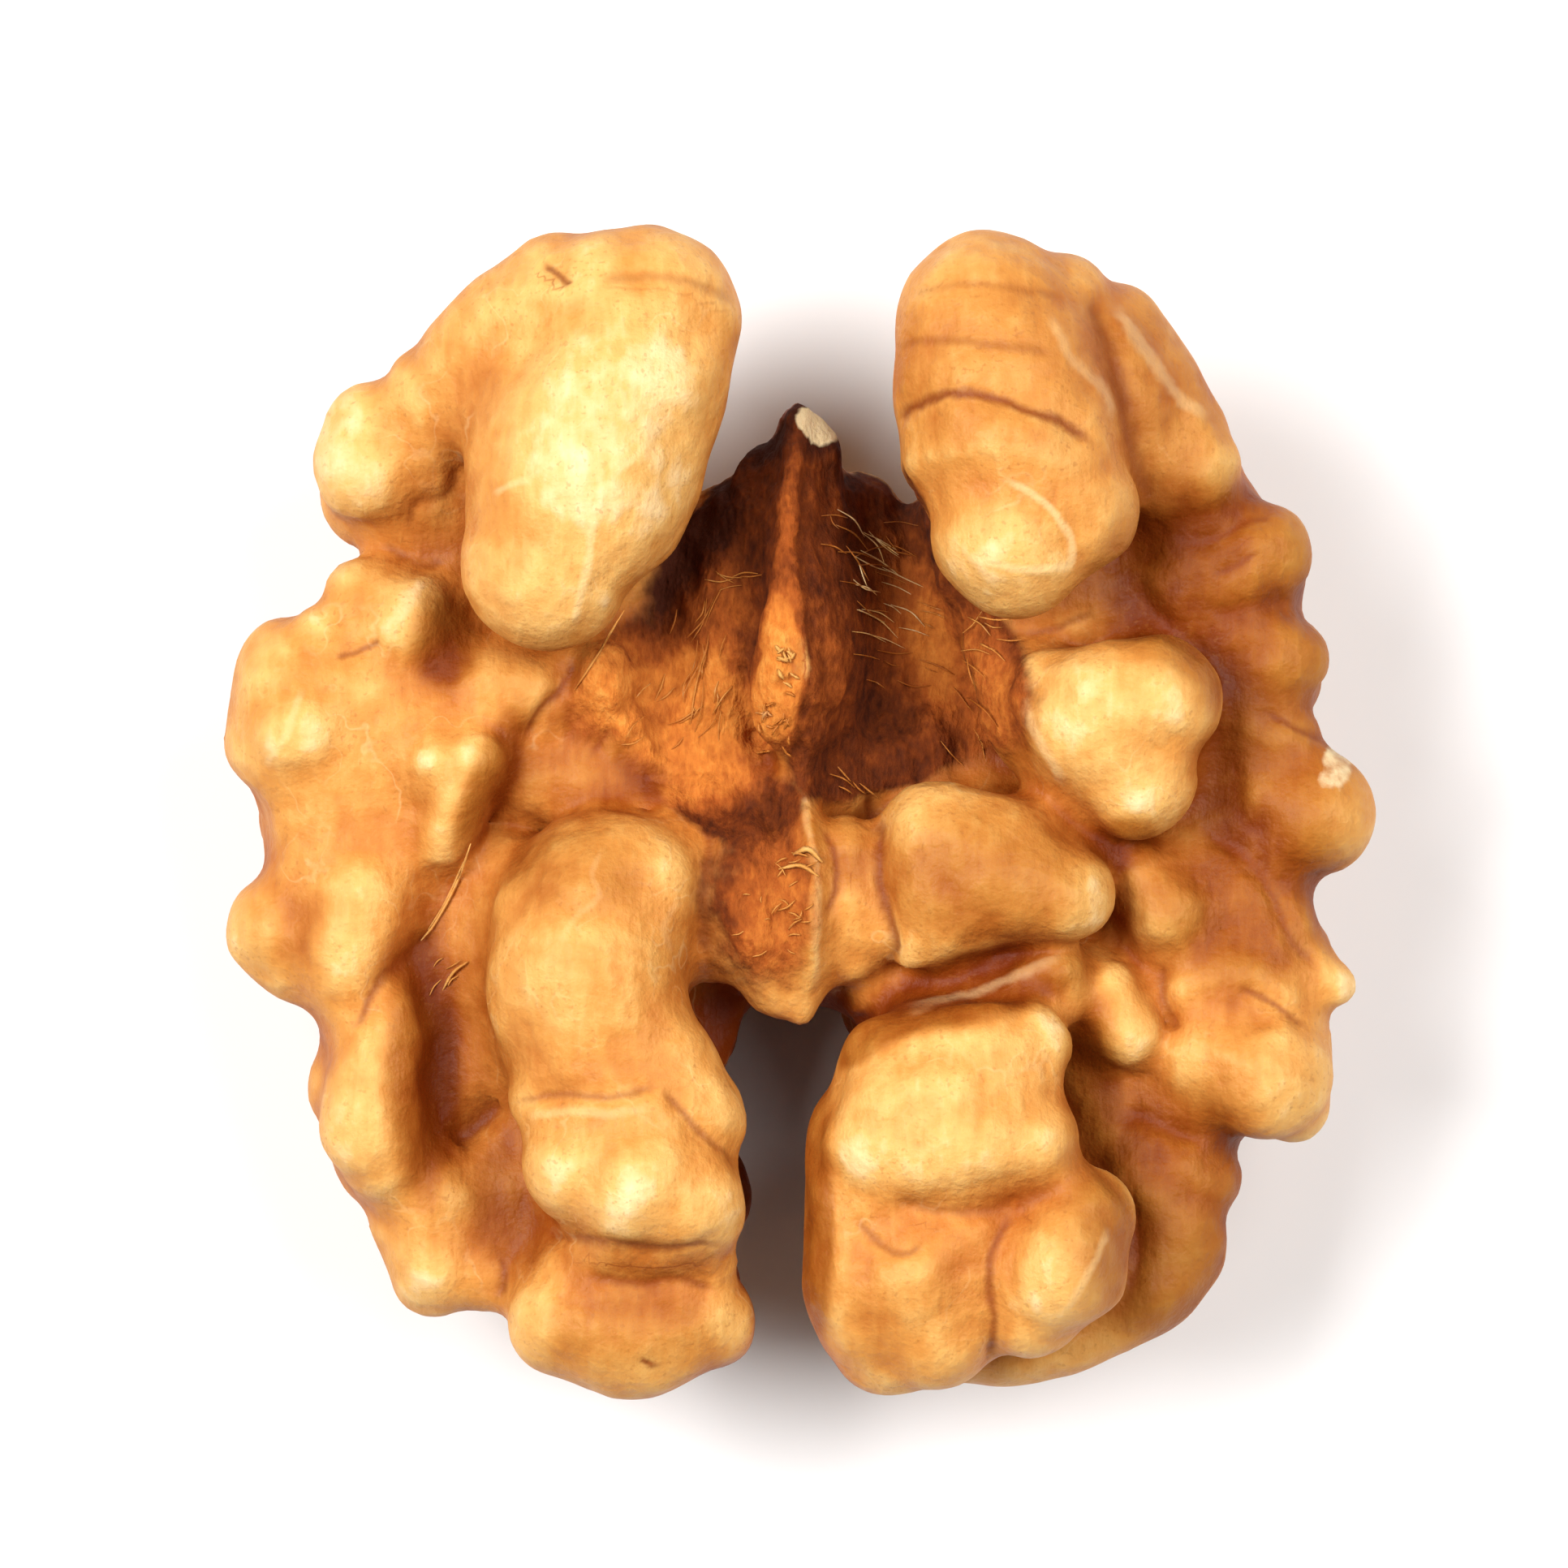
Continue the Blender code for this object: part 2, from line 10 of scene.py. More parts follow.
import logging
import math
from dataclasses import dataclass
from enum import Enum
from typing import Any, Sequence

import bmesh
import bpy
import numpy as np
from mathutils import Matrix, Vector


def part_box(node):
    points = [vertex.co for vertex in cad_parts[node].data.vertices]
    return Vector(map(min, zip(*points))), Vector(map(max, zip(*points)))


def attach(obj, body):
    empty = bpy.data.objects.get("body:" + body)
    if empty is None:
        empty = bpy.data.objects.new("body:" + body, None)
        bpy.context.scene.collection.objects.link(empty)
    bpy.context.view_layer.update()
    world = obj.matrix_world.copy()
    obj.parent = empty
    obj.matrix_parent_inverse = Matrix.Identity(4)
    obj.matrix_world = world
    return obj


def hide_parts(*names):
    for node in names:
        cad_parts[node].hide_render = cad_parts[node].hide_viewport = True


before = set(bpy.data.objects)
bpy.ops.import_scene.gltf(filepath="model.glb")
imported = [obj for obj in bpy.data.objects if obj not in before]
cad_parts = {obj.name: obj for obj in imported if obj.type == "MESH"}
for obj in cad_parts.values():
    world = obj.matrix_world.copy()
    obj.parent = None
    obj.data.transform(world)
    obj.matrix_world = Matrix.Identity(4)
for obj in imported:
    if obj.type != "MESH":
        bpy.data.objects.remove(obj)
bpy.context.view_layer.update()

log = logging.getLogger("walnut_kernel")

MM = 0.001
NODE = "kernel"
BODY = "root"

# Distance, in half widths, given to a place that no crease or vein is near.
FAR_OFF = 9.0

Points = np.ndarray
Faces = list[tuple[int, ...]]
Surface = tuple[Points, Faces]


class Layer(Enum):
    """Measures that the mesh of the skin carries, one number for each point."""

    CREST = "crest"
    HOLLOW = "hollow"
    MEMBRANE = "membrane"
    TAN_AND_SHADING = "tan"
    CREASE_OFFSET = "crease_offset"
    CREASE_STRENGTH = "crease_strength"
    VEIN_OFFSET = "vein_offset"
    VEIN_STRENGTH = "vein_strength"
    FLESH = "flesh"


def linear(hex_colour: str) -> tuple[float, float, float, float]:
    """Turns an sRGB hex colour into linear light.

    Args:
        hex_colour: Six hex digits after a hash sign.

    Returns:
        Linear red, green and blue, and an alpha of one.
    """
    parts = [int(hex_colour[i:i + 2], 16) / 255.0 for i in (1, 3, 5)]
    light = [c / 12.92 if c <= 0.04045 else ((c + 0.055) / 1.055) ** 2.4 for c in parts]
    return (light[0], light[1], light[2], 1.0)


def smoothstep(low: float, high: float, value: Points) -> Points:
    """A smooth rise from 0 at low to 1 at high: 3t^2 - 2t^3 of the clipped share t."""
    t = np.clip((value - low) / (high - low), 0.0, 1.0)
    return t * t * (3.0 - 2.0 * t)


def lattice_noise(points: Points, cell: float, seed: int) -> Points:
    """Smooth noise between -1 and 1.

    Random values sit at the corners of cubes of the side cell. Inside a cube they are blended
    along each axis by the smoothstep of the share of the way across.

    Args:
        points: Places in millimetres, shape (count, 3).
        cell: Side of the cubes in millimetres.
        seed: Seed of the random corner values.

    Returns:
        One value for each point.
    """
    size = 32
    corners = np.random.default_rng(seed).uniform(-1.0, 1.0, (size, size, size))
    scaled = points / cell + 0.5 * size
    base = np.floor(scaled).astype(int)
    share = scaled - base
    share = share * share * (3.0 - 2.0 * share)
    total = np.zeros(len(points))
    for dx, dy, dz in np.ndindex(2, 2, 2):
        step = np.array([dx, dy, dz])
        weight = np.prod(np.where(step, share, 1.0 - share), axis=1)
        index = (base + step) % size
        total += weight * corners[index[:, 0], index[:, 1], index[:, 2]]
    return total


def through_points(points: Sequence[Sequence[float]], steps: int) -> Points:
    """A smooth line through rows of numbers, by Catmull-Rom spans.

    Args:
        points: The rows that the line passes through.
        steps: Points worked out in each span.

    Returns:
        The line's rows.
    """
    rows = np.asarray(points, float)
    rows = np.vstack([2 * rows[0] - rows[1], rows, 2 * rows[-1] - rows[-2]])
    t = np.linspace(0.0, 1.0, steps, endpoint=False)[:, None]
    spans = []
    for a, b, c, d in zip(rows[:-3], rows[1:-2], rows[2:-1], rows[3:]):
        bend = (2 * a - 5 * b + 4 * c - d) * t ** 2 + (3 * b - a - 3 * c + d) * t ** 3
        spans.append(0.5 * (2 * b + (c - a) * t + bend))
    return np.vstack(spans + [rows[-2:-1]])


def stitched(rings: Points) -> Surface:
    """Joins a stack of closed rings into faces, with a fan on each end.

    Args:
        rings: Shape (rows, sides, 3); the first and the last row are one repeated point each.

    Returns:
        The points and the faces.
    """
    rows, sides = rings.shape[:2]
    body = np.arange((rows - 2) * sides).reshape(rows - 2, sides)
    beside = np.roll(body, -1, axis=1)
    quads = np.stack([body[:-1], body[1:], beside[1:], beside[:-1]], -1).reshape(-1, 4)
    first = body.size
    fan = [(first, a, b) for a, b in zip(body[0].tolist(), beside[0].tolist())]
    fan += [(first + 1, b, a) for a, b in zip(body[-1].tolist(), beside[-1].tolist())]
    points = np.vstack([rings[1:-1].reshape(-1, 3), rings[0, :1], rings[-1, :1]])
    return points, [tuple(quad) for quad in quads.tolist()] + fan


def tube(centres: Points, radii: Points, tall: float, sides: int, domes: int) -> Surface:
    """A round profile carried along a line of centres, with a dome on each end.

    At each centre the profile is r (cos a) sideways plus r (sin a) tall across the line, and over
    a dome r falls as the cosine of the angle while the centre moves on by its sine.

    Args:
        centres: The line, shape (count, 3).
        radii: Half width of the profile at each centre.
        tall: Height over half width of the profile.
        sides: Points round the profile.
        domes: Rings in each dome.

    Returns:
        The points and the faces.
    """
    along = np.gradient(centres, axis=0)
    along /= np.linalg.norm(along, axis=1)[:, None]
    turn = np.linspace(0.0, math.pi / 2, domes + 1)[1:]
    head = centres[0] - along[0] * (radii[0] * np.sin(turn))[::-1, None]
    tail = centres[-1] + along[-1] * (radii[-1] * np.sin(turn))[:, None]
    line = np.vstack([head, centres, tail])
    widths = np.concatenate([radii[0] * np.cos(turn)[::-1], radii, radii[-1] * np.cos(turn)])
    along = np.vstack([np.repeat(along[:1], domes, 0), along, np.repeat(along[-1:], domes, 0)])
    side = np.cross(along, (0.0, 0.0, 1.0))
    side /= np.maximum(np.linalg.norm(side, axis=1), 1e-9)[:, None]
    over = np.cross(side, along)
    angle = np.linspace(0.0, 2 * math.pi, sides, endpoint=False)[None, :, None]
    ring = np.cos(angle) * side[:, None] + tall * np.sin(angle) * over[:, None]
    return stitched(line[:, None] + widths[:, None, None] * ring)


def mesh_object(name: str, surfaces: Sequence[Surface], scale: float = 1.0) -> bpy.types.Object:
    """Makes one object of many closed surfaces, every one facing out.

    Args:
        name: Name of the object.
        surfaces: The points and faces of each surface.
        scale: Factor on every coordinate.

    Returns:
        The new object, at the origin.
    """
    counts = np.cumsum([0] + [len(points) for points, _ in surfaces])
    points = np.vstack([points for points, _ in surfaces]) * scale
    faces = [tuple(i + int(start) for i in face)
             for (_, part), start in zip(surfaces, counts) for face in part]
    mesh = bpy.data.meshes.new(name)
    mesh.from_pydata(points.tolist(), [], faces)
    solid = bmesh.new()
    solid.from_mesh(mesh)
    bmesh.ops.recalc_face_normals(solid, faces=solid.faces)
    solid.to_mesh(mesh)
    solid.free()
    mesh.shade_smooth()
    obj = bpy.data.objects.new(name, mesh)
    bpy.context.scene.collection.objects.link(obj)
    return obj


def mesh_points(mesh: bpy.types.Mesh, what: str = "co") -> Points:
    """The coordinates of a mesh's points, as rows of three."""
    rows = np.empty(3 * len(mesh.vertices), np.float32)
    if what == "normal":
        mesh.vertex_normals.foreach_get("vector", rows)
    else:
        mesh.vertices.foreach_get("co", rows)
    return rows.reshape(-1, 3).astype(float)


def mesh_edges(mesh: bpy.types.Mesh) -> Points:
    """The two points of each edge of a mesh, as rows of two numbers."""
    edges = np.empty(2 * len(mesh.edges), np.int32)
    mesh.edges.foreach_get("vertices", edges)
    return edges.reshape(-1, 2)


def offset_from_line(points: Points, line: Points) -> tuple[Points, Points]:
    """Signed distance in plan from a line, and the share of the way along it.

    For each segment the nearest place is the clipped projection of the point. The nearest segment
    gives the distance, with the sign of the side on which the point lies.

    Args:
        points: Places in plan, shape (count, 2).
        line: The line's points, shape (steps, 2).

    Returns:
        The signed distance and the share from 0 to 1, one each for each point.
    """
    best = np.full(len(points), np.inf)
    signed = np.zeros(len(points))
    share = np.zeros(len(points))
    count = len(line) - 1
    for number, (start, end) in enumerate(zip(line[:-1], line[1:])):
        span = end - start
        t = np.clip((points - start) @ span / (span @ span), 0.0, 1.0)
        gap = points - start - t[:, None] * span
        distance = np.hypot(gap[:, 0], gap[:, 1])
        nearer = distance < best
        side = np.sign(span[0] * gap[:, 1] - span[1] * gap[:, 0])
        best = np.where(nearer, distance, best)
        signed = np.where(nearer, distance * np.where(side == 0, 1.0, side), signed)
        share = np.where(nearer, (number + t) / count, share)
    return signed, share


# Driving sizes of the round back: half width, half length, height of the rim and depth of the bowl.
BACK_HALF_WIDTH = 16.0
BACK_HALF_LENGTH = 16.4
RIM_HEIGHT = 9.6
BACK_DEPTH = 9.75

# The folds of the inner side. A fold is (height over half width of its profile, crest line), and a
# point of the crest line is (x, y, crest height, half width).
INNER_FOLDS = {
    # the two tall arms beside the notch
    "left_arm": (1.05, [(-4.1, 13.9, 14.8, 2.6), (-4.9, 12.0, 15.7, 3.05), (-6.1, 9.0, 16.1, 3.2),
                        (-6.9, 6.9, 15.5, 2.35)]),
    "right_arm": (1.05, [(5.3, 13.9, 14.4, 2.4), (5.75, 11.6, 15.3, 3.0), (6.15, 9.3, 15.7, 3.1),
                         (5.9, 7.7, 15.3, 2.2)]),
    "right_arm_cheek": (1.05, [(6.6, 9.9, 15.2, 2.7), (7.4, 8.6, 15.0, 2.15)]),
    # left shoulder, ball and ledge
    "left_shoulder": (1.1, [(-6.4, 14.1, 14.3, 2.2), (-8.1, 13.1, 13.4, 1.9), (-9.6, 11.8, 12.0, 1.4)]),
    "left_shoulder_fill": (1.1, [(-5.2, 14.1, 14.8, 2.3), (-7.2, 12.9, 14.0, 2.0),
                                 (-8.4, 11.6, 13.0, 1.5)]),
    "left_saddle": (1.1, [(-10.2, 11.6, 12.0, 1.3), (-10.3, 10.2, 11.4, 1.3), (-10.2, 8.8, 10.6, 1.2)]),
    "left_ball": (1.1, [(-11.9, 10.4, 11.5, 1.55), (-12.1, 9.7, 11.8, 1.65)]),
    "left_ledge": (1.2, [(-11.4, 7.9, 9.6, 0.9), (-9.6, 7.4, 10.0, 0.9)]),
    "left_gap": (1.2, [(-10.1, 7.4, 9.8, 1.2), (-9.6, 5.8, 10.0, 1.2), (-9.2, 4.4, 10.3, 1.1)]),
    # left side, from the notch under the ball to the foot
    "left_knob": (1.2, [(-12.1, 6.1, 10.5, 1.0), (-11.0, 5.35, 11.6, 1.8)]),
    "left_big": (1.2, [(-14.2, 3.7, 11.2, 1.7), (-14.3, 2.0, 11.2, 1.9)]),
    "left_big_bump": (1.2, [(-13.9, 2.2, 11.8, 1.5)]),
    "left_big_brow": (1.2, [(-13.2, 4.8, 10.8, 0.9), (-12.2, 4.2, 10.8, 1.0), (-11.2, 3.3, 10.9, 1.1)]),
    "left_plateau": (1.2, [(-13.0, 0.2, 11.0, 2.1), (-11.4, 1.6, 11.2, 1.9)]),
    "left_plateau_mid": (1.2, [(-13.0, 3.6, 11.2, 1.8), (-11.4, 3.0, 11.3, 1.7),
                               (-10.4, 2.4, 11.3, 1.3)]),
    "left_plateau_low": (1.2, [(-13.0, -1.2, 10.8, 1.8), (-11.4, -1.0, 10.9, 1.7)]),
    "left_finger": (1.4, [(-9.1, 1.5, 12.0, 0.95), (-9.5, 0.4, 11.8, 0.95), (-9.9, -0.7, 11.2, 0.85)]),
    "left_finger_bump": (1.2, [(-10.1, 1.4, 11.9, 0.6)]),
    "left_bulge": (1.2, [(-14.4, -3.3, 10.6, 1.55), (-13.9, -4.2, 10.4, 1.3)]),
    "left_long": (1.3, [(-12.2, -2.2, 11.6, 1.4), (-12.5, -3.8, 11.6, 1.45), (-12.5, -5.2, 10.9, 1.15)]),
    "left_low_finger": (1.3, [(-11.6, -5.4, 10.8, 1.0), (-11.9, -7.2, 11.4, 1.4),
                              (-11.9, -8.8, 11.4, 1.5), (-11.6, -9.7, 10.8, 1.2)]),
    "left_foot": (1.2, [(-10.9, -11.6, 9.4, 1.2), (-10.1, -12.6, 10.0, 1.6)]),
    "left_foot_inner": (1.3, [(-8.4, -11.4, 9.4, 0.9), (-8.8, -13.0, 9.6, 1.1)]),
    # lower left column
    "left_column": (1.15, [(-5.5, -2.7, 13.6, 2.6), (-5.9, -4.6, 14.3, 2.8), (-5.6, -6.2, 14.0, 2.7)]),
    "left_column_waist": (1.15, [(-6.6, -7.9, 13.3, 1.5), (-4.9, -8.2, 14.0, 1.9),
                                 (-3.4, -8.6, 13.6, 1.6)]),
    "left_column_brow": (1.2, [(-7.0, -2.9, 12.9, 1.6), (-5.6, -1.9, 13.3, 1.8), (-4.2, -2.0, 13.1, 1.7)]),
    "left_column_flank": (1.2, [(-8.0, -1.8, 10.4, 1.3), (-8.6, -3.2, 10.4, 1.4), (-8.5, -5.0, 9.8, 1.2)]),
    "left_valley": (1.2, [(-10.2, -2.6, 9.4, 1.3), (-10.2, -5.6, 9.1, 1.3), (-9.8, -8.8, 8.8, 1.4)]),
    "left_column_cheek": (1.2, [(-3.9, -7.0, 13.5, 1.6), (-2.75, -8.5, 13.3, 1.4)]),
    "left_column_low": (1.15, [(-5.9, -9.8, 14.0, 1.85), (-4.5, -10.3, 14.6, 2.4),
                               (-3.3, -10.9, 14.0, 1.9)]),
    "left_pad": (1.2, [(-5.4, -12.5, 12.2, 0.9), (-4.0, -12.9, 12.4, 1.0), (-2.6, -12.6, 12.0, 1.0)]),
    "left_end": (1.2, [(-6.5, -14.2, 11.9, 1.65), (-4.6, -14.6, 12.4, 1.9), (-2.8, -14.1, 11.9, 1.65)]),
    "left_end_root": (1.2, [(-6.2, -13.0, 11.6, 1.2), (-3.2, -13.2, 11.8, 1.2)]),
    # middle: the joining strap, its keel, and the roof-like ridge above it
    "strap": (1.2, [(-1.4, -1.2, 11.6, 1.4), (-1.2, -2.8, 12.2, 1.6), (-0.4, -4.3, 11.4, 1.4)]),
    "strap_right": (1.3, [(1.35, -1.1, 11.9, 0.95), (1.4, -2.5, 12.0, 1.1), (1.5, -3.8, 11.2, 0.9)]),
    "strap_bridge": (1.2, [(-3.0, -1.0, 11.0, 1.2), (-2.6, -3.0, 11.2, 1.2), (-2.4, -4.0, 10.4, 0.9)]),
    "keel": (2.5, [(0.15, 0.4, 11.4, 0.3), (0.45, -1.5, 12.3, 0.3), (0.45, -3.5, 12.2, 0.3),
                   (0.2, -5.4, 10.6, 0.3)]),
    "roof_ridge": (2.4, [(0.0, 10.6, 9.8, 0.55), (-0.2, 8.5, 11.2, 0.6), (-0.2, 6.4, 12.1, 0.75),
                         (0.1, 4.2, 12.6, 1.0), (0.0, 2.4, 12.0, 0.9), (0.0, 0.8, 11.0, 0.5)]),
    "roof_spindle": (1.5, [(-0.3, 5.6, 12.3, 0.7), (-0.4, 4.1, 12.6, 0.95), (-0.4, 2.6, 12.2, 0.75)]),
    "roof_swelling": (1.6, [(0.5, 5.6, 11.5, 0.6), (0.7, 4.0, 11.7, 0.75), (0.5, 2.6, 11.3, 0.6)]),
    "roof_tip": (1.6, [(0.45, 10.5, 9.5, 0.5), (0.75, 9.9, 9.7, 0.6)]),
    "roof_left": (1.6, [(-0.8, 9.4, 9.2, 1.0), (-1.5, 7.0, 10.2, 1.7), (-2.1, 4.4, 10.7, 2.2),
                        (-2.2, 2.9, 10.4, 1.7)]),
    "roof_left_low": (1.4, [(-2.2, 8.1, 7.8, 1.2), (-3.4, 6.2, 8.6, 1.8), (-4.3, 4.3, 9.3, 1.8),
                            (-4.4, 3.0, 9.4, 1.4)]),
    "roof_right": (2.2, [(0.55, 9.4, 9.6, 0.9), (0.6, 7.0, 10.6, 1.2), (0.75, 4.6, 11.2, 1.4),
                         (0.6, 2.6, 10.6, 1.2)]),
    "roof_right_low": (1.4, [(1.7, 8.4, 7.6, 1.2), (2.1, 6.0, 7.8, 1.5), (2.4, 3.6, 7.6, 1.5)]),
    "roof_skirt": (1.0, [(-4.6, 1.7, 9.6, 0.7), (-3.0, 1.3, 9.9, 0.65), (-1.5, 1.1, 10.2, 0.65),
                         (-0.3, 0.8, 10.4, 0.6)]),
    "roof_foot": (1.2, [(-4.6, 0.9, 9.2, 1.2), (-2.6, 0.7, 9.6, 1.2), (-0.6, 0.4, 10.0, 1.1),
                        (1.0, 0.6, 9.6, 1.0), (2.0, 1.0, 8.8, 1.2), (3.4, 1.8, 8.4, 1.3)]),
    "left_column_skirt": (1.2, [(-8.2, -6.0, 9.8, 1.1), (-8.0, -8.6, 9.2, 1.1), (-7.7, -10.8, 9.8, 1.1)]),
    "left_slope": (1.2, [(-8.8, 3.5, 11.3, 1.3), (-7.6, 3.3, 11.4, 1.3)]),
    "left_slope_inner": (1.2, [(-5.5, 3.9, 11.2, 1.1), (-5.1, 2.6, 10.9, 1.05)]),
    "left_slope_low": (1.2, [(-7.4, 1.2, 10.3, 1.5), (-5.2, 0.9, 10.3, 1.3), (-3.4, 0.5, 10.1, 1.1)]),
    # right shoulder and outer side
    "right_shoulder": (1.3, [(7.4, 14.0, 12.8, 1.5), (8.7, 12.2, 13.0, 1.3), (9.7, 10.2, 12.2, 1.2),
                             (9.9, 9.0, 11.4, 1.0)]),
    "right_outer_shoulder": (1.2, [(8.8, 13.4, 11.8, 1.4), (9.9, 12.0, 11.7, 1.3),
                                   (10.9, 10.3, 11.6, 1.3)]),
    "right_ball": (1.2, [(11.2, 9.7, 11.6, 1.2)]),
    "right_upper": (1.2, [(11.0, 7.8, 10.5, 1.2), (12.9, 7.2, 10.9, 1.45)]),
    "right_upper_brow": (1.2, [(10.4, 6.6, 10.6, 0.9), (12.6, 6.6, 10.9, 0.9)]),
    "right_upper_plate": (1.2, [(9.4, 7.6, 9.8, 1.2), (10.8, 6.6, 10.1, 1.4), (12.2, 6.2, 10.2, 1.4)]),
    "right_second": (1.2, [(12.1, 5.0, 10.4, 1.3), (13.3, 4.3, 10.6, 1.4)]),
    "right_rubble_a": (1.2, [(9.6, 6.6, 10.3, 1.0), (10.9, 7.5, 10.6, 0.9)]),
    "right_rubble_b": (1.2, [(10.7, 5.9, 10.4, 0.8), (12.0, 6.3, 10.7, 0.8)]),
    "right_rubble_c": (1.2, [(8.6, 5.9, 10.2, 0.8), (7.6, 5.4, 10.4, 0.8)]),
    "right_ledge": (1.2, [(10.6, 8.7, 10.4, 0.9), (11.8, 8.6, 10.2, 0.7)]),
    "right_third": (1.2, [(12.5, 2.6, 10.2, 1.3), (13.3, 1.9, 10.3, 1.3)]),
    "right_knob": (1.2, [(13.2, 0.4, 10.4, 1.4), (14.4, -0.1, 10.8, 1.75)]),
    "right_ridge": (1.4, [(12.8, -1.3, 10.0, 0.8), (13.6, -2.8, 10.0, 0.8), (14.0, -4.0, 10.0, 0.7),
                          (14.9, -4.8, 9.8, 0.65)]),
    "right_low_shelf": (1.2, [(11.4, -1.2, 9.8, 0.9), (12.2, -2.6, 9.8, 0.9)]),
    "right_plate": (1.2, [(11.4, -1.2, 10.1, 1.4), (12.6, -2.4, 10.2, 1.6), (13.4, -3.8, 10.2, 1.3)]),
    "right_small": (1.2, [(9.7, -1.8, 10.6, 0.9), (10.4, -2.8, 11.0, 1.2)]),
    "right_valley": (1.2, [(9.4, 6.4, 9.0, 1.4), (11.6, 3.6, 9.0, 1.4), (11.9, 0.6, 9.2, 1.3),
                           (10.2, -1.0, 9.2, 1.1)]),
    "right_valley_low": (1.2, [(9.6, -3.4, 9.0, 1.2), (10.0, -5.6, 9.2, 1.2), (9.6, -8.0, 9.0, 1.3)]),
    "right_long": (1.3, [(8.7, -5.0, 10.8, 0.8), (9.2, -6.2, 11.0, 0.9)]),
    "right_pad": (1.2, [(11.0, -4.9, 10.6, 1.0), (12.4, -4.6, 10.8, 1.1), (13.4, -5.2, 10.6, 0.9)]),
    "right_big": (1.2, [(11.7, -7.0, 11.0, 1.6), (13.1, -7.4, 11.5, 1.8)]),
    "right_big_edge": (1.2, [(14.0, -6.3, 9.8, 0.9), (13.9, -8.3, 9.8, 1.0)]),
    "right_bridge": (1.2, [(9.4, -8.4, 9.4, 1.0), (10.8, -9.4, 9.7, 1.1)]),
    "block_gap": (1.2, [(7.9, -6.2, 9.8, 0.9), (8.3, -7.8, 9.4, 0.9)]),
    # heart and triangle lobes, and the strut under them
    "heart_upper": (1.15, [(7.2, 3.2, 12.3, 1.3), (8.5, 2.9, 13.5, 1.9), (10.0, 3.1, 13.6, 1.85)]),
    "heart_lower": (1.15, [(8.2, 2.4, 13.5, 1.9), (9.5, 0.9, 13.1, 1.7)]),
    "heart_neck": (1.2, [(5.9, 4.6, 10.4, 1.3), (6.5, 2.8, 11.2, 1.4), (7.6, 1.2, 11.4, 1.3)]),
    "heart_gap": (1.2, [(7.4, 0.2, 10.4, 1.0), (8.7, -1.3, 10.3, 1.0)]),
    "triangle": (1.15, [(4.0, -0.9, 12.8, 1.85), (5.8, -1.6, 13.3, 2.0), (7.4, -2.2, 12.8, 1.4)]),
    "triangle_root": (1.15, [(3.3, -3.4, 12.1, 1.05), (5.0, -3.0, 12.3, 1.0)]),
    "triangle_low": (1.15, [(3.9, -2.2, 12.8, 1.65), (4.1, -2.9, 12.5, 1.5)]),
    "trough": (1.3, [(2.6, -5.2, 10.0, 1.3), (5.0, -5.0, 10.6, 1.6), (7.2, -4.6, 10.8, 1.3)]),
    "strut": (1.8, [(2.8, -5.9, 10.2, 0.5), (5.0, -5.1, 11.1, 0.55), (7.4, -4.3, 11.5, 0.55)]),
    "strut_end": (1.6, [(7.4, -4.6, 11.4, 0.7), (7.4, -5.2, 11.2, 0.7)]),
    # lower right block
    "block_top": (1.15, [(2.9, -7.6, 13.4, 1.95), (5.0, -7.0, 13.7, 1.6), (6.5, -6.5, 13.0, 1.15)]),
    "block_saddle": (1.15, [(3.0, -8.4, 13.9, 2.1), (4.8, -8.1, 14.1, 2.0), (6.0, -7.8, 13.5, 1.4)]),
    "block_mid": (1.15, [(2.5, -9.3, 13.8, 1.8), (4.6, -9.2, 14.3, 1.9), (6.4, -9.2, 13.9, 1.5)]),
    "block_heart": (1.15, [(4.6, -11.6, 13.1, 1.9), (5.1, -13.2, 12.8, 1.8)]),
    "block_left": (1.2, [(1.75, -8.8, 12.4, 1.45), (1.55, -11.2, 12.7, 1.4), (1.9, -13.4, 12.6, 1.65),
                         (2.7, -14.6, 12.0, 1.75)]),
    "block_low": (1.2, [(3.2, -12.5, 13.5, 1.7), (3.7, -14.2, 12.8, 1.9)]),
    "block_bright": (1.15, [(6.6, -13.8, 12.9, 1.45), (7.3, -12.6, 13.9, 1.85),
                            (8.0, -11.3, 13.4, 1.45)]),
    "outer_plate": (1.1, [(9.6, -10.4, 9.8, 1.3), (10.6, -11.6, 10.0, 1.45), (9.9, -12.9, 9.9, 1.5),
                          (8.2, -14.2, 9.5, 1.3), (6.2, -14.9, 9.2, 1.2), (4.4, -15.0, 9.2, 1.1)]),
    "outer_plate_neck": (1.1, [(8.8, -8.9, 9.5, 1.2), (10.4, -9.8, 9.7, 1.3)]),
}

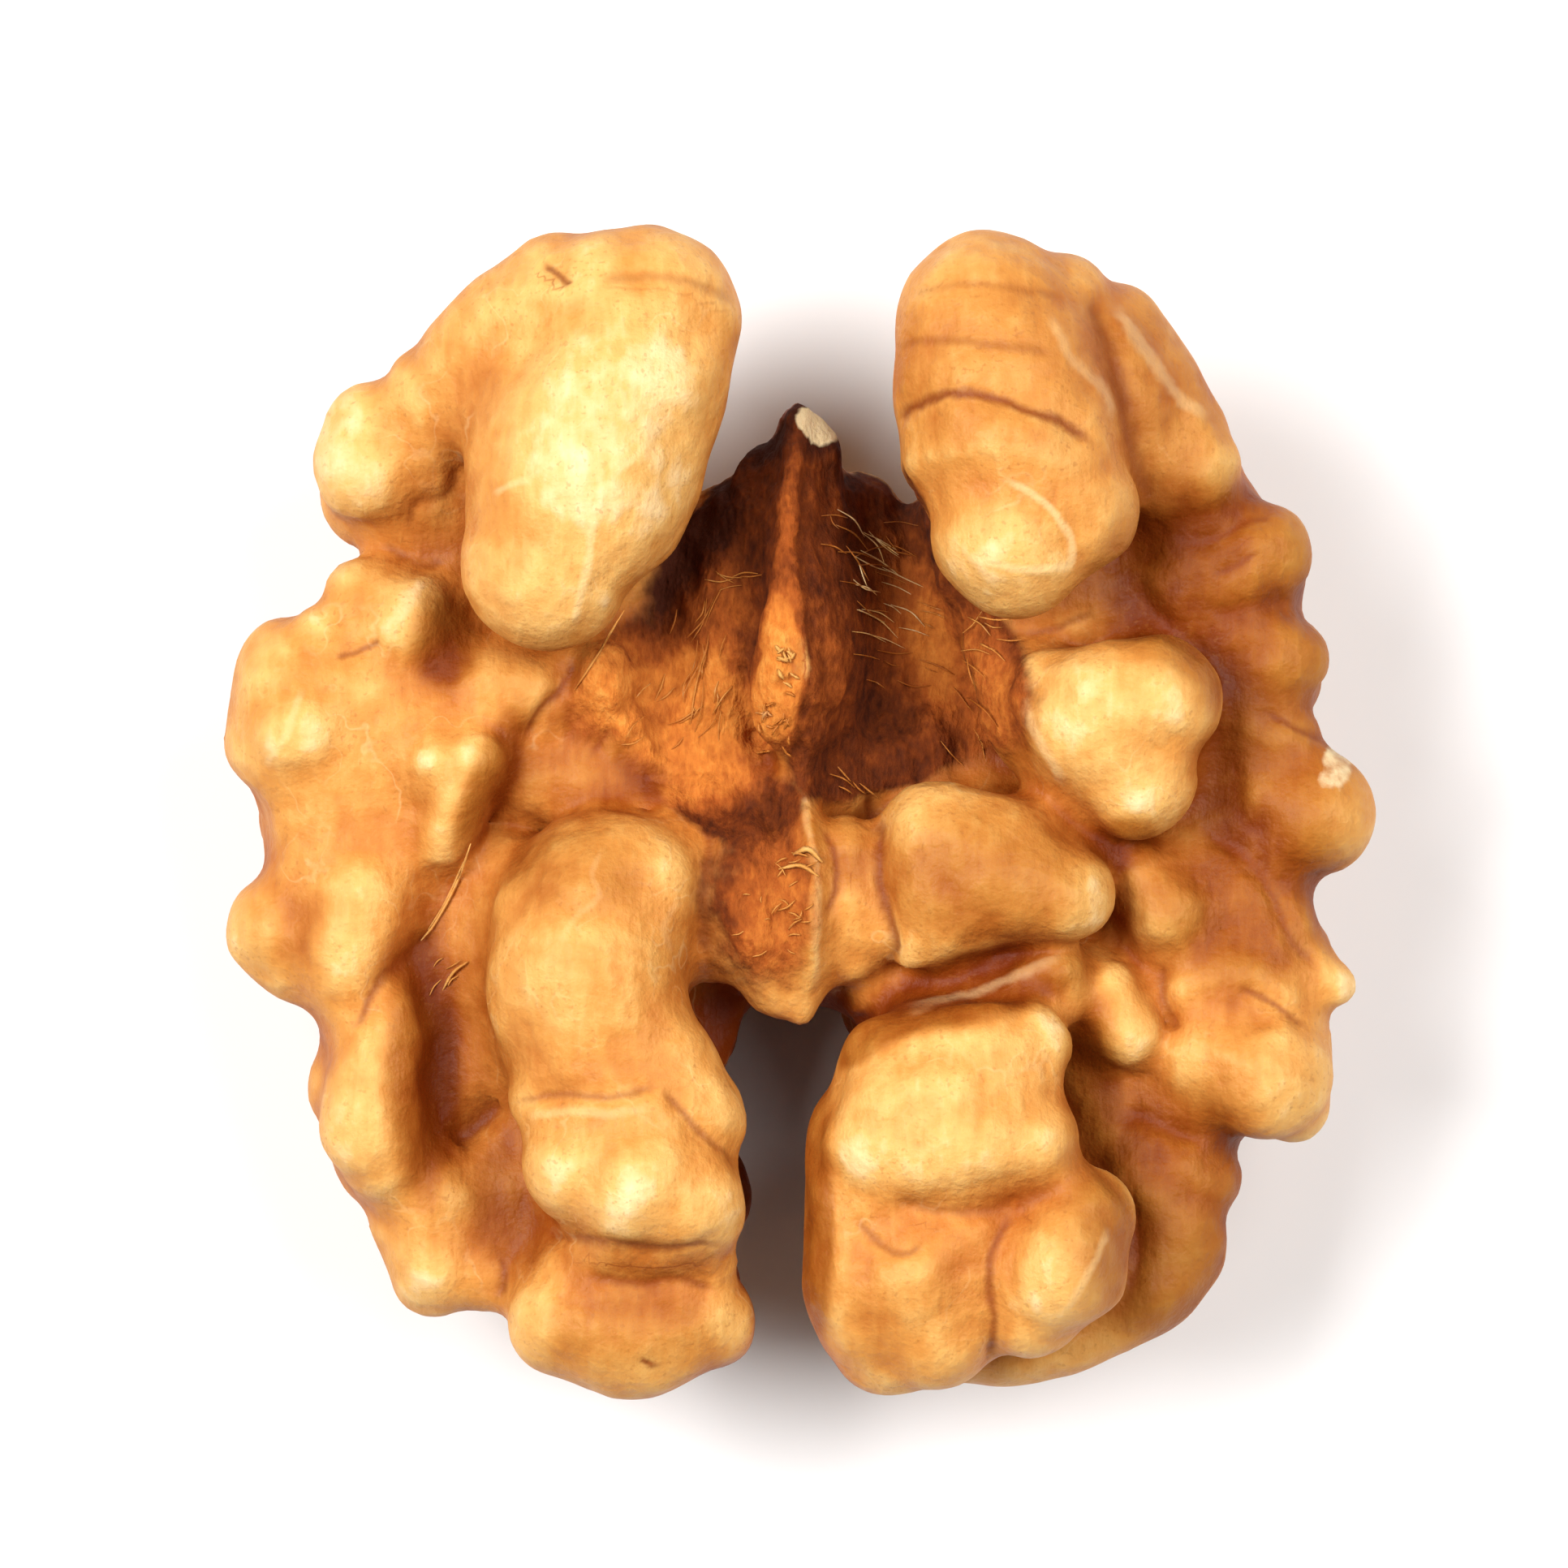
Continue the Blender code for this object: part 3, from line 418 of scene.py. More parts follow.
# Folds of the back. Each runs from a lobe of the rim to a foot beside the groove that parts the two
# halves underneath: (rim x, rim y, half width at the rim, foot x, foot y).
BACK_FOLDS = [
    (-5.6, 14.4, 2.4, -4.8, 7.6),
    (-9.4, 13.4, 2.1, -6.6, 6.0),
    (-13.2, 10.2, 1.8, -2.8, 4.6),
    (-12.2, 7.0, 1.2, -7.6, 3.0),
    (-15.6, 3.0, 1.9, -2.4, 1.2),
    (-14.8, -0.2, 1.7, -7.0, -1.4),
    (-15.5, -3.8, 1.8, -2.4, -2.4),
    (-13.6, -8.4, 1.6, -6.0, -5.2),
    (-11.4, -12.4, 1.8, -3.2, -6.8),
    (-7.6, -14.5, 1.7, -5.8, -10.2),
    (-4.0, -15.2, 1.9, -3.4, -10.8),
    (6.2, 14.3, 2.2, 5.4, 7.6),
    (9.6, 13.2, 1.8, 7.4, 6.4),
    (12.2, 10.2, 1.6, 2.9, 4.8),
    (14.1, 7.4, 1.5, 8.0, 2.6),
    (14.6, 4.2, 1.5, 2.4, 1.6),
    (15.8, 0.0, 1.8, 7.2, -0.8),
    (15.0, -4.6, 1.5, 2.3, -2.0),
    (14.3, -7.8, 1.7, 6.4, -4.8),
    (12.0, -11.4, 1.6, 2.6, -6.0),
    (8.6, -14.2, 1.6, 6.2, -9.6),
    (4.2, -15.4, 2.0, 2.8, -10.8),
]
BACK_WAVE = 0.7
BACK_FOOT_WIDTH = 1.3
BACK_NARROWING = 2.0
BACK_STATIONS = 5
BACK_RIM_SINK = 0.17

# Bodies that fill the inside: (centre, half sizes, the last one downwards, height above the centre).
CORES = [
    ((-6.6, -0.3, 7.0), (5.8, 11.2, 4.9), 0.6),
    ((6.6, -0.6, 7.0), (5.8, 11.2, 4.9), 0.6),
    ((0.0, 1.2, 4.9), (4.6, 6.6, 5.05), 1.7),
    ((-11.6, 1.4, 7.4), (3.2, 4.6, 2.4), 2.6),
    ((-11.7, -6.2, 7.4), (1.7, 5.0, 2.4), 2.0),
    ((10.6, 4.4, 7.4), (3.4, 6.2, 2.6), 2.7),
    ((10.8, -4.6, 7.4), (3.4, 5.2, 2.4), 1.8),
    ((-8.0, 2.4, 7.0), (3.4, 3.6, 3.0), 2.6),
    ((9.6, -10.8, 7.4), (2.3, 2.8, 2.6), 2.0),
    ((-9.0, -11.0, 7.2), (2.1, 2.5, 2.8), 1.6),
    ((-6.6, 9.0, 8.4), (3.0, 5.2, 4.4), 2.6),
    ((6.4, 9.2, 8.4), (2.9, 5.0, 4.4), 2.6),
    ((-4.7, -10.0, 8.2), (2.7, 4.4, 4.8), 3.0),
    ((-5.6, -4.2, 8.6), (2.5, 3.5, 5.0), 3.0),
    ((4.4, -11.0, 8.2), (3.2, 4.0, 4.8), 3.2),
    ((4.8, -2.4, 8.0), (3.0, 3.2, 4.4), 2.6),
    ((5.4, -5.4, 7.0), (2.8, 2.2, 3.6), 2.6),
    ((2.9, -4.2, 7.0), (2.2, 2.2, 4.2), 2.6),
    ((0.2, -2.4, 6.0), (3.2, 3.0, 4.6), 4.0),
    ((9.0, 2.4, 8.6), (2.2, 2.2, 4.4), 2.8),
]


@dataclass(frozen=True)
class Line:
    """A thin line on the skin, drawn in plan: a crease where it sinks, a vein where it stands up.

    Attributes:
        path: Points (x, y) in millimetres.
        width: Half width in millimetres.
        rise: Height over the skin in millimetres, negative for a crease.
        strength: How strongly it is coloured, from 0 to 1.
    """

    path: tuple[tuple[float, float], ...]
    width: float
    rise: float
    strength: float


@dataclass(frozen=True)
class Patch:
    """A soft-edged oval in plan where the skin differs.

    Attributes:
        centre: Its middle (x, y) in millimetres.
        half: Its half sizes before it is turned, in millimetres.
        turn: Its turn in degrees, counter-clockwise.
        amount: How strong it is in the middle.
    """

    centre: tuple[float, float]
    half: tuple[float, float]
    turn: float
    amount: float

    def weight(self, points: Points) -> Points:
        """Strength at places in plan: amount times a smoothstep of one less the oval's radius."""
        angle = math.radians(self.turn)
        gap = points[:, :2] - self.centre
        u = (gap[:, 0] * math.cos(angle) + gap[:, 1] * math.sin(angle)) / self.half[0]
        v = (gap[:, 1] * math.cos(angle) - gap[:, 0] * math.sin(angle)) / self.half[1]
        return self.amount * smoothstep(0.0, 0.6, 1.0 - np.hypot(u, v))


def covered(points: Points, patches: Sequence[Patch], lowest: float) -> Points:
    """The sum of the patches' strengths at each place, held between lowest and one."""
    return np.clip(sum(patch.weight(points) for patch in patches), lowest, 1.0)


@dataclass(frozen=True)
class Fibre:
    """A thin fibre that lies on the skin.

    Attributes:
        half: Half width at its middle, in millimetres.
        tall: Height over half width.
        lift: Height of its middle over the skin, in millimetres.
        paleness: How much paler it is than the skin, negative for a darker one.
        route: Points (x, y) in millimetres.
    """

    half: float
    tall: float
    lift: float
    paleness: float
    route: Sequence[Sequence[float]]


@dataclass(frozen=True)
class Tuft:
    """Many short fibres that lie side by side.

    Attributes:
        number: How many.
        centre: Middle (x, y) of the tuft in millimetres.
        area: Its half sizes along x and y.
        heading: Their mean heading in degrees.
        spread: How far the headings differ, in degrees.
        lengths: The shortest and the longest, in millimetres.
        half: Half width of a fibre.
        paleness: As for a single fibre.
    """

    number: int
    centre: tuple[float, float]
    area: tuple[float, float]
    heading: float
    spread: float
    lengths: tuple[float, float]
    half: float
    paleness: float


# Creases that sink into the skin, most of them darker.
CREASES = (
    # stripes across the right arm
    Line(((2.6, 10.7), (3.2, 11.25), (4.2, 11.6), (5.4, 11.5), (6.6, 11.1), (7.5, 10.8), (8.4, 10.0)),
         0.30, -0.16, 1.0),
    Line(((2.8, 12.9), (4.2, 13.1), (5.8, 12.9), (7.2, 12.7)), 0.26, -0.05, 0.45),
    Line(((3.2, 14.3), (4.6, 14.7), (6.2, 14.5), (7.4, 14.3)), 0.26, -0.04, 0.3),
    # stripe and short crease on the left arm
    Line(((-5.5, 14.85), (-4.6, 14.95), (-3.5, 14.9), (-2.4, 14.6), (-1.5, 14.1)), 0.34, -0.08, 0.4),
    Line(((-7.1, 15.4), (-6.7, 15.0), (-6.35, 14.6)), 0.24, -0.16, 0.9),
    # creases of the middle strap and the triangle
    Line(((2.1, 0.7), (2.2, -0.6), (2.25, -2.0), (2.55, -3.4), (2.7, -4.5)), 0.26, -0.3, 0.9),
    Line(((0.7, -0.4), (1.1, -1.2), (1.1, -2.2), (0.8, -3.0)), 0.2, -0.14, 0.85),
    Line(((-2.5, 0.1), (-2.45, -1.5), (-2.6, -2.9), (-2.45, -4.2)), 0.25, -0.22, 0.7),
    Line(((-1.7, -0.9), (-1.5, -1.9), (-1.6, -3.2)), 0.18, -0.14, 0.6),
    Line(((-0.75, -1.9), (-0.55, -2.8), (-0.7, -3.9)), 0.17, -0.12, 0.5),
    # creases of the lower left column
    Line(((-8.0, -8.1), (-6.6, -7.85), (-5.2, -7.9), (-3.8, -7.6)), 0.26, -0.2, 0.6),
    Line(((-3.8, -7.6), (-2.8, -8.8), (-1.9, -9.6), (-1.4, -10.3)), 0.22, -0.16, 0.65),
    # creases of the lower right block
    Line(((2.6, -10.8), (4.2, -11.15), (6.0, -11.0), (7.5, -10.3)), 0.26, -0.2, 0.6),
    Line(((1.6, -11.3), (2.3, -12.0), (3.0, -12.3), (3.5, -12.0)), 0.24, -0.12, 0.6),
    Line(((6.1, -11.0), (5.5, -12.0), (5.3, -13.0), (5.45, -14.4), (5.4, -15.5)), 0.24, -0.2, 0.85),
    Line(((8.2, -9.5), (9.3, -10.7), (9.6, -12.2), (9.2, -13.9)), 0.26, -0.2, 0.7),
    # borders of the spindle on the roof, and the fold beside it
    Line(((-0.5, 10.6), (-0.65, 8.6), (-0.7, 6.9), (-1.2, 5.6), (-1.45, 4.2), (-1.4, 2.8), (-1.0, 1.7),
          (-0.4, 1.0)), 0.16, -0.16, 0.9),
    Line(((0.25, 10.4), (0.25, 8.4), (0.15, 6.6), (0.4, 5.2), (0.5, 4.0), (0.4, 3.2), (0.12, 2.4),
          (0.12, 0.4)), 0.14, -0.2, 1.0),
    Line(((-0.05, 4.8), (-0.25, 4.3), (-0.05, 3.9), (-0.35, 3.5), (-0.3, 3.1)), 0.17, -0.24, 1.0),
    Line(((-1.3, 2.3), (-1.1, 1.9), (-1.0, 1.4), (-0.7, 0.9)), 0.24, -0.2, 0.6),
    # painted shadow: a wide dark crease under the torn flap of the membrane
    Line(((-3.2, 0.35), (-2.2, -0.05), (-1.2, -0.2), (-0.3, -0.25)), 0.42, -0.35, 0.9),
    # creases of the slope left of the roof, and the torn lower edge of the membrane
    Line(((-3.7, 4.0), (-4.4, 3.1), (-5.2, 2.3), (-5.8, 1.5)), 0.24, -0.26, 0.95),
    Line(((-6.3, 4.4), (-6.55, 3.4), (-7.2, 2.6), (-7.6, 2.0)), 0.22, -0.24, 0.9),
    Line(((-4.4, 1.15), (-3.6, 0.85), (-3.0, 0.7), (-2.5, 0.75), (-2.1, 0.45), (-1.2, 0.3), (-0.4, 0.15)),
         0.22, -0.3, 1.0),
    # crease between the right arm and the outer lobes
    Line(((8.1, 14.6), (8.8, 13.0), (9.2, 11.4), (9.6, 9.8), (10.0, 8.4)), 0.4, -0.28, 0.7),
    # tiers of the left arm, which carry no colour of their own
    Line(((-8.6, 12.4), (-6.6, 13.5), (-4.2, 13.6), (-2.0, 12.8)), 0.8, -0.2, 0.0),
    Line(((-9.2, 9.8), (-7.4, 10.3), (-5.4, 10.2), (-3.0, 10.8)), 0.7, -0.14, 0.0),
    Line(((-8.7, 11.4), (-6.6, 12.1), (-4.2, 12.0), (-2.4, 11.4)), 0.6, 0.1, 0.0),
    # the left side and the foot of the column
    Line(((-12.4, -6.1), (-11.7, -5.0), (-10.9, -4.1), (-10.2, -3.3)), 0.26, -0.22, 0.85),
    Line(((-8.3, -8.1), (-8.9, -8.6), (-9.6, -9.3)), 0.42, -0.45, 1.0),
    Line(((-7.1, -11.7), (-5.6, -12.1), (-3.8, -12.3), (-1.9, -12.0)), 0.24, -0.18, 0.8),
    Line(((-5.9, -12.9), (-4.4, -13.2), (-3.2, -13.1), (-2.2, -13.3)), 0.24, -0.2, 0.8),
    Line(((-4.3, -15.35), (-4.05, -15.55), (-3.75, -15.5)), 0.2, -0.12, 1.0),
    Line(((-12.9, 4.3), (-12.2, 4.5), (-11.6, 4.8)), 0.2, -0.12, 0.7),
    Line(((-10.9, 7.9), (-10.6, 8.6), (-9.7, 8.9), (-9.5, 9.8)), 0.2, -0.14, 0.6),
    Line(((-11.6, 7.5), (-10.6, 7.0), (-9.8, 7.0)), 0.22, -0.16, 0.6),
    # outer lobes
    Line(((11.0, 7.4), (11.9, 7.7), (12.6, 8.1), (13.3, 8.2)), 0.22, -0.14, 0.8),
    Line(((11.7, 6.6), (12.3, 6.9), (12.9, 7.3)), 0.18, -0.12, 0.7),
    Line(((9.3, 6.6), (9.9, 5.6), (10.7, 4.8), (11.5, 4.3)), 0.3, -0.2, 0.7),
    Line(((11.5, 5.5), (12.6, 5.7), (13.8, 5.9)), 0.3, -0.2, 0.6),
    Line(((11.2, -0.4), (12.4, -1.1), (13.3, -2.3), (13.7, -3.4), (14.5, -4.4)), 0.26, -0.2, 0.7),
    Line(((10.1, -4.2), (10.2, -5.2), (10.7, -6.2)), 0.26, -0.2, 0.7),
    Line(((9.2, -8.3), (10.2, -8.8), (11.3, -9.3)), 0.26, -0.2, 0.6),
    Line(((5.2, 5.3), (6.2, 4.9), (7.4, 5.2), (8.4, 5.6)), 0.24, -0.16, 0.6),
    Line(((12.3, -4.9), (13.2, -5.3), (14.2, -6.1)), 0.2, -0.14, 0.7),
    Line(((-8.3, -12.3), (-8.25, -13.0), (-8.4, -13.6)), 0.24, -0.2, 0.8),
    Line(((12.9, 2.9), (14.0, 2.3), (14.8, 1.85), (15.4, 1.5), (15.8, 0.95)), 0.2, -0.14, 0.8),
)

# Paler veins that stand a little above the skin.
VEINS = (
    Line(((-5.6, 8.6), (-5.8, 7.2), (-6.0, 6.2), (-6.2, 5.2)), 0.2, 0.07, 0.8),
    Line(((-4.0, 10.5), (-4.5, 9.9), (-5.1, 9.3)), 0.18, 0.05, 0.6),
    Line(((-8.4, 8.8), (-7.9, 9.1), (-7.4, 9.2)), 0.18, 0.06, 0.6),
    Line(((5.6, 9.4), (6.4, 8.9), (7.2, 8.2), (7.6, 7.4), (7.3, 6.9), (6.3, 6.8), (5.4, 7.0), (4.6, 7.2)),
         0.2, 0.07, 0.8),
    Line(((6.3, 3.8), (6.5, 2.8), (6.9, 1.8), (7.4, 0.6)), 0.22, 0.08, 0.7),
    Line(((-7.6, -8.5), (-6.4, -8.3), (-5.2, -8.4), (-4.0, -8.2)), 0.24, 0.06, 0.4),
    Line(((3.0, -5.7), (4.0, -5.4), (5.2, -5.0), (6.4, -4.5), (7.5, -4.0)), 0.24, 0.06, 0.4),
    Line(((0.2, 0.3), (0.3, -0.6), (0.6, -1.6), (0.55, -3.4), (0.5, -5.2)), 0.18, 0.05, 0.3),
    Line(((-5.4, -1.0), (-5.7, -1.8), (-5.5, -2.4), (-6.2, -3.0), (-6.6, -3.8)), 0.16, 0.03, 0.22),
    Line(((-3.2, -2.4), (-3.7, -3.1), (-3.5, -3.9)), 0.16, 0.03, 0.22),
    Line(((8.8, 14.2), (9.7, 12.8), (10.6, 11.6), (11.6, 11.0)), 0.3, 0.1, 0.5),
    Line(((6.9, 13.8), (7.6, 12.6), (8.4, 11.8), (8.8, 10.9)), 0.26, 0.05, 0.4),
    Line(((7.4, -14.0), (8.1, -12.8), (8.7, -11.6)), 0.2, 0.04, 0.5),
    Line(((-14.9, 1.2), (-14.2, 2.2), (-13.8, 3.4)), 0.2, 0.04, 0.5),
)

# Where the papery membrane of the middle lies, and a strip of it put under the torn flap as painted shadow.
MEMBRANE = (
    Patch((-0.2, 8.8), (2.8, 4.2), 0.0, 1.2),
    Patch((-1.9, 6.2), (3.0, 4.2), -20.0, 1.2),
    Patch((-2.6, 2.9), (3.4, 2.5), 16.0, 1.2),
    Patch((2.4, 6.4), (3.0, 5.4), 8.0, 1.4),
    Patch((3.3, 3.9), (3.6, 3.8), 20.0, 1.4),
    Patch((0.9, 2.0), (1.8, 2.3), 0.0, 1.4),
    Patch((4.6, 4.2), (2.0, 3.8), 40.0, 0.9),
    Patch((-1.0, -2.3), (2.3, 3.7), 0.0, 0.8),
    # painted shadow: dark membrane put in the flap's shade under its torn edge
    Patch((-1.8, 0.3), (2.5, 1.2), -6.0, 1.2),
    Patch((2.2, 1.4), (2.4, 1.2), 14.0, 1.0),
    Patch((-5.2, 3.6), (1.4, 2.6), -24.0, 0.7),
)

# Where the skin is browner than the rest: troughs, flanks and the right-hand rim, and painted shade where a
# side lies in shade. Amounts below nothing are for the palest crests. On the membrane a positive amount is its
# lighter side, partly painted light on its lit left flank.
TAN_AND_SHADING = (
    Patch((-5.2, 10.6), (4.4, 6.4), 14.0, -0.9),
    Patch((-5.0, 13.6), (3.6, 1.0), 0.0, 0.15),
    Patch((-11.8, 10.2), (3.0, 3.0), 0.0, -0.3),
    Patch((8.6, 2.4), (3.2, 3.0), 0.0, -0.25),
    Patch((7.4, -12.6), (2.4, 3.0), -30.0, -0.2),
    Patch((3.0, -13.8), (3.2, 2.6), 0.0, 0.25),
    Patch((3.4, -9.0), (3.8, 3.6), 0.0, -0.4),
    Patch((5.6, 8.0), (2.6, 2.4), 0.0, -0.2),
    Patch((-4.9, -9.8), (3.4, 2.6), 0.0, -0.3),
    Patch((-0.5, -2.9), (1.8, 3.0), 0.0, 0.6),
    Patch((0.25, -0.6), (0.5, 0.9), 0.0, 0.6),
    Patch((-5.2, 3.6), (1.4, 2.4), -24.0, 0.75),
    Patch((-2.0, 1.2), (2.4, 0.9), -8.0, 0.3),
    Patch((1.2, -1.0), (1.2, 1.8), 0.0, 0.5),
    # painted shade: the left wall of the block, in the shadow of the column
    Patch((0.5, -11.0), (0.8, 6.0), 0.0, 1.0),
    # painted shade: the upper edge of the block, in the shade of the triangle and the strap
    Patch((1.6, -6.4), (2.4, 0.9), 20.0, 1.0),
    Patch((5.0, -5.0), (4.2, 1.3), 14.0, 1.2),
    # partly painted shade: the valley on the shaded right side of the low finger
    Patch((-10.4, -7.2), (1.5, 5.4), 2.0, 0.9),
    Patch((-10.4, 9.8), (1.3, 2.6), 10.0, 0.45),
    Patch((-12.4, 1.6), (2.6, 3.0), 0.0, -0.4),
    Patch((-6.0, -1.6), (3.0, 2.0), 0.0, 0.45),
    Patch((-4.6, -14.6), (3.8, 2.0), 0.0, 0.5),
    Patch((-14.4, -3.4), (1.8, 1.8), 0.0, 0.35),
    Patch((12.9, -7.2), (2.4, 2.2), 0.0, 0.3),
    # painted shade: the shaded right side of the knob
    Patch((-9.8, 4.8), (1.4, 2.0), 0.0, 0.8),
    # painted shade: the shaded right side of the finger
    Patch((-8.6, 0.8), (0.9, 3.0), -22.0, 0.9),
    Patch((-2.9, 2.3), (2.7, 2.7), -24.0, 1.5),
    Patch((-2.5, 5.2), (1.5, 2.6), -20.0, 0.45),
    Patch((-0.2, 8.4), (0.6, 4.6), 0.0, 0.25),
    Patch((-0.5, 3.9), (0.9, 2.6), 0.0, 1.5),
    Patch((0.9, 4.0), (0.8, 2.4), 0.0, 0.25),
    Patch((3.2, 5.2), (1.5, 3.4), 14.0, 0.5),
    Patch((5.0, 3.4), (1.8, 4.2), 30.0, 0.65),
    Patch((6.0, 12.4), (4.6, 5.4), 0.0, 0.35),
    Patch((5.4, -1.8), (4.6, 3.0), 0.0, 0.6),
    Patch((10.6, 12.0), (2.6, 4.0), 30.0, 0.4),
    Patch((11.6, 6.4), (4.4, 4.0), 0.0, 1.15),
    Patch((13.6, 2.0), (3.4, 5.4), 0.0, 0.7),
    Patch((12.4, -2.6), (4.4, 3.6), 0.0, 0.7),
    Patch((8.2, -7.0), (1.2, 2.8), 0.0, 0.9),
    Patch((9.2, -0.9), (1.2, 1.0), 0.0, 1.0),
    Patch((10.4, -11.4), (4.4, 5.0), 0.0, 1.0),
    Patch((-8.2, -11.2), (1.6, 2.4), 20.0, 0.5),
    Patch((-4.4, -12.7), (3.4, 1.0), 0.0, 0.3),
    Patch((-5.6, 0.9), (3.8, 1.4), 0.0, 0.5),
    Patch((-6.6, 3.6), (2.4, 2.0), 0.0, 0.4),
)

# Long fibres that stand off the skin.
FIBRES = (
    Fibre(0.045, 0.8, 0.05, 0.1, ((-9.1, -0.9), (-9.5, -2.0), (-10.1, -3.1), (-10.5, -3.6))),
    Fibre(0.04, 0.8, 0.03, 0.1, ((-9.3, -1.4), (-9.8, -2.5), (-10.3, -3.3))),
    Fibre(0.05, 0.6, 0.03, 0.1, ((-9.2, -4.2), (-9.6, -4.5), (-9.9, -5.0))),
    Fibre(0.04, 0.8, 0.02, 0.05, ((-4.8, 5.6), (-5.6, 4.3), (-6.2, 3.4))),
    Fibre(0.03, 0.8, 0.02, -0.05, ((-2.4, 5.0), (-2.8, 3.6), (-3.0, 2.3))),
    Fibre(0.09, 0.4, 0.04, 0.1, ((-0.1, -1.2), (0.3, -1.05), (0.7, -1.4))),
    Fibre(0.07, 0.4, 0.02, 0.05, ((-0.5, -1.6), (0.1, -1.5), (0.6, -1.8))),
)

# Tufts of short fibres on the membrane.
TUFTS = (
    Tuft(12, (2.1, 7.1), (0.9, 1.0), -32.0, 14.0, (0.6, 1.4), 0.02, 0.26),
    Tuft(14, (2.0, 7.0), (1.1, 1.3), -30.0, 18.0, (0.4, 1.3), 0.02, -0.12),
    Tuft(8, (2.9, 5.2), (0.9, 0.6), -22.0, 10.0, (0.6, 1.4), 0.018, 0.22),
    Tuft(12, (2.9, 4.6), (1.1, 1.2), -26.0, 14.0, (0.4, 1.2), 0.02, -0.14),
    Tuft(6, (-1.7, 6.4), (0.45, 0.4), 4.0, 14.0, (0.5, 1.0), 0.022, 0.0),
    Tuft(14, (-2.6, 4.0), (1.1, 1.8), 68.0, 10.0, (0.6, 1.6), 0.022, -0.08),
    Tuft(14, (-3.4, 2.6), (1.4, 0.9), 62.0, 18.0, (0.4, 1.0), 0.024, -0.04),
    Tuft(12, (-0.3, 4.2), (0.26, 0.8), -20.0, 50.0, (0.2, 0.4), 0.055, 0.12),
    Tuft(18, (-0.6, 2.4), (0.5, 0.9), -20.0, 60.0, (0.2, 0.4), 0.04, -0.1),
    Tuft(9, (-0.1, -2.0), (0.6, 0.8), 14.0, 24.0, (0.3, 0.6), 0.026, -0.02),
    Tuft(14, (-0.7, -2.8), (1.0, 1.2), 10.0, 30.0, (0.2, 0.5), 0.024, 0.02),
    Tuft(8, (5.2, 4.9), (0.9, 0.5), -10.0, 25.0, (0.4, 1.0), 0.026, -0.02),
    Tuft(6, (4.9, 2.8), (0.6, 1.6), -55.0, 14.0, (0.5, 1.2), 0.024, -0.1),
    Tuft(5, (1.6, 0.8), (0.5, 0.3), -45.0, 14.0, (0.3, 0.8), 0.025, -0.04),
    Tuft(5, (-9.8, -4.6), (0.3, 0.4), -130.0, 12.0, (0.3, 0.7), 0.025, 0.05),
)

# Where the seed coat is gone and the pale flesh shows: the broken tip and a chip on the right rim.
FLESH = (
    Patch((0.55, 10.75), (0.85, 0.5), -35.0, 1.6),
    Patch((15.0, 1.2), (0.75, 0.85), 0.0, 0.56),
)


@dataclass(frozen=True)
class Placement:
    """The way from the table's millimetres to the frame's: a scale near one, then a move.

    Attributes:
        scale: Factor along each axis.
        shift: Move along each axis in millimetres.
    """

    scale: tuple[float, float, float]
    shift: tuple[float, float, float]

    def place(self, points: Points) -> Points:
        """Places in the frame's millimetres: scale times the point, plus the shift."""
        return points * np.asarray(self.scale) + np.asarray(self.shift)


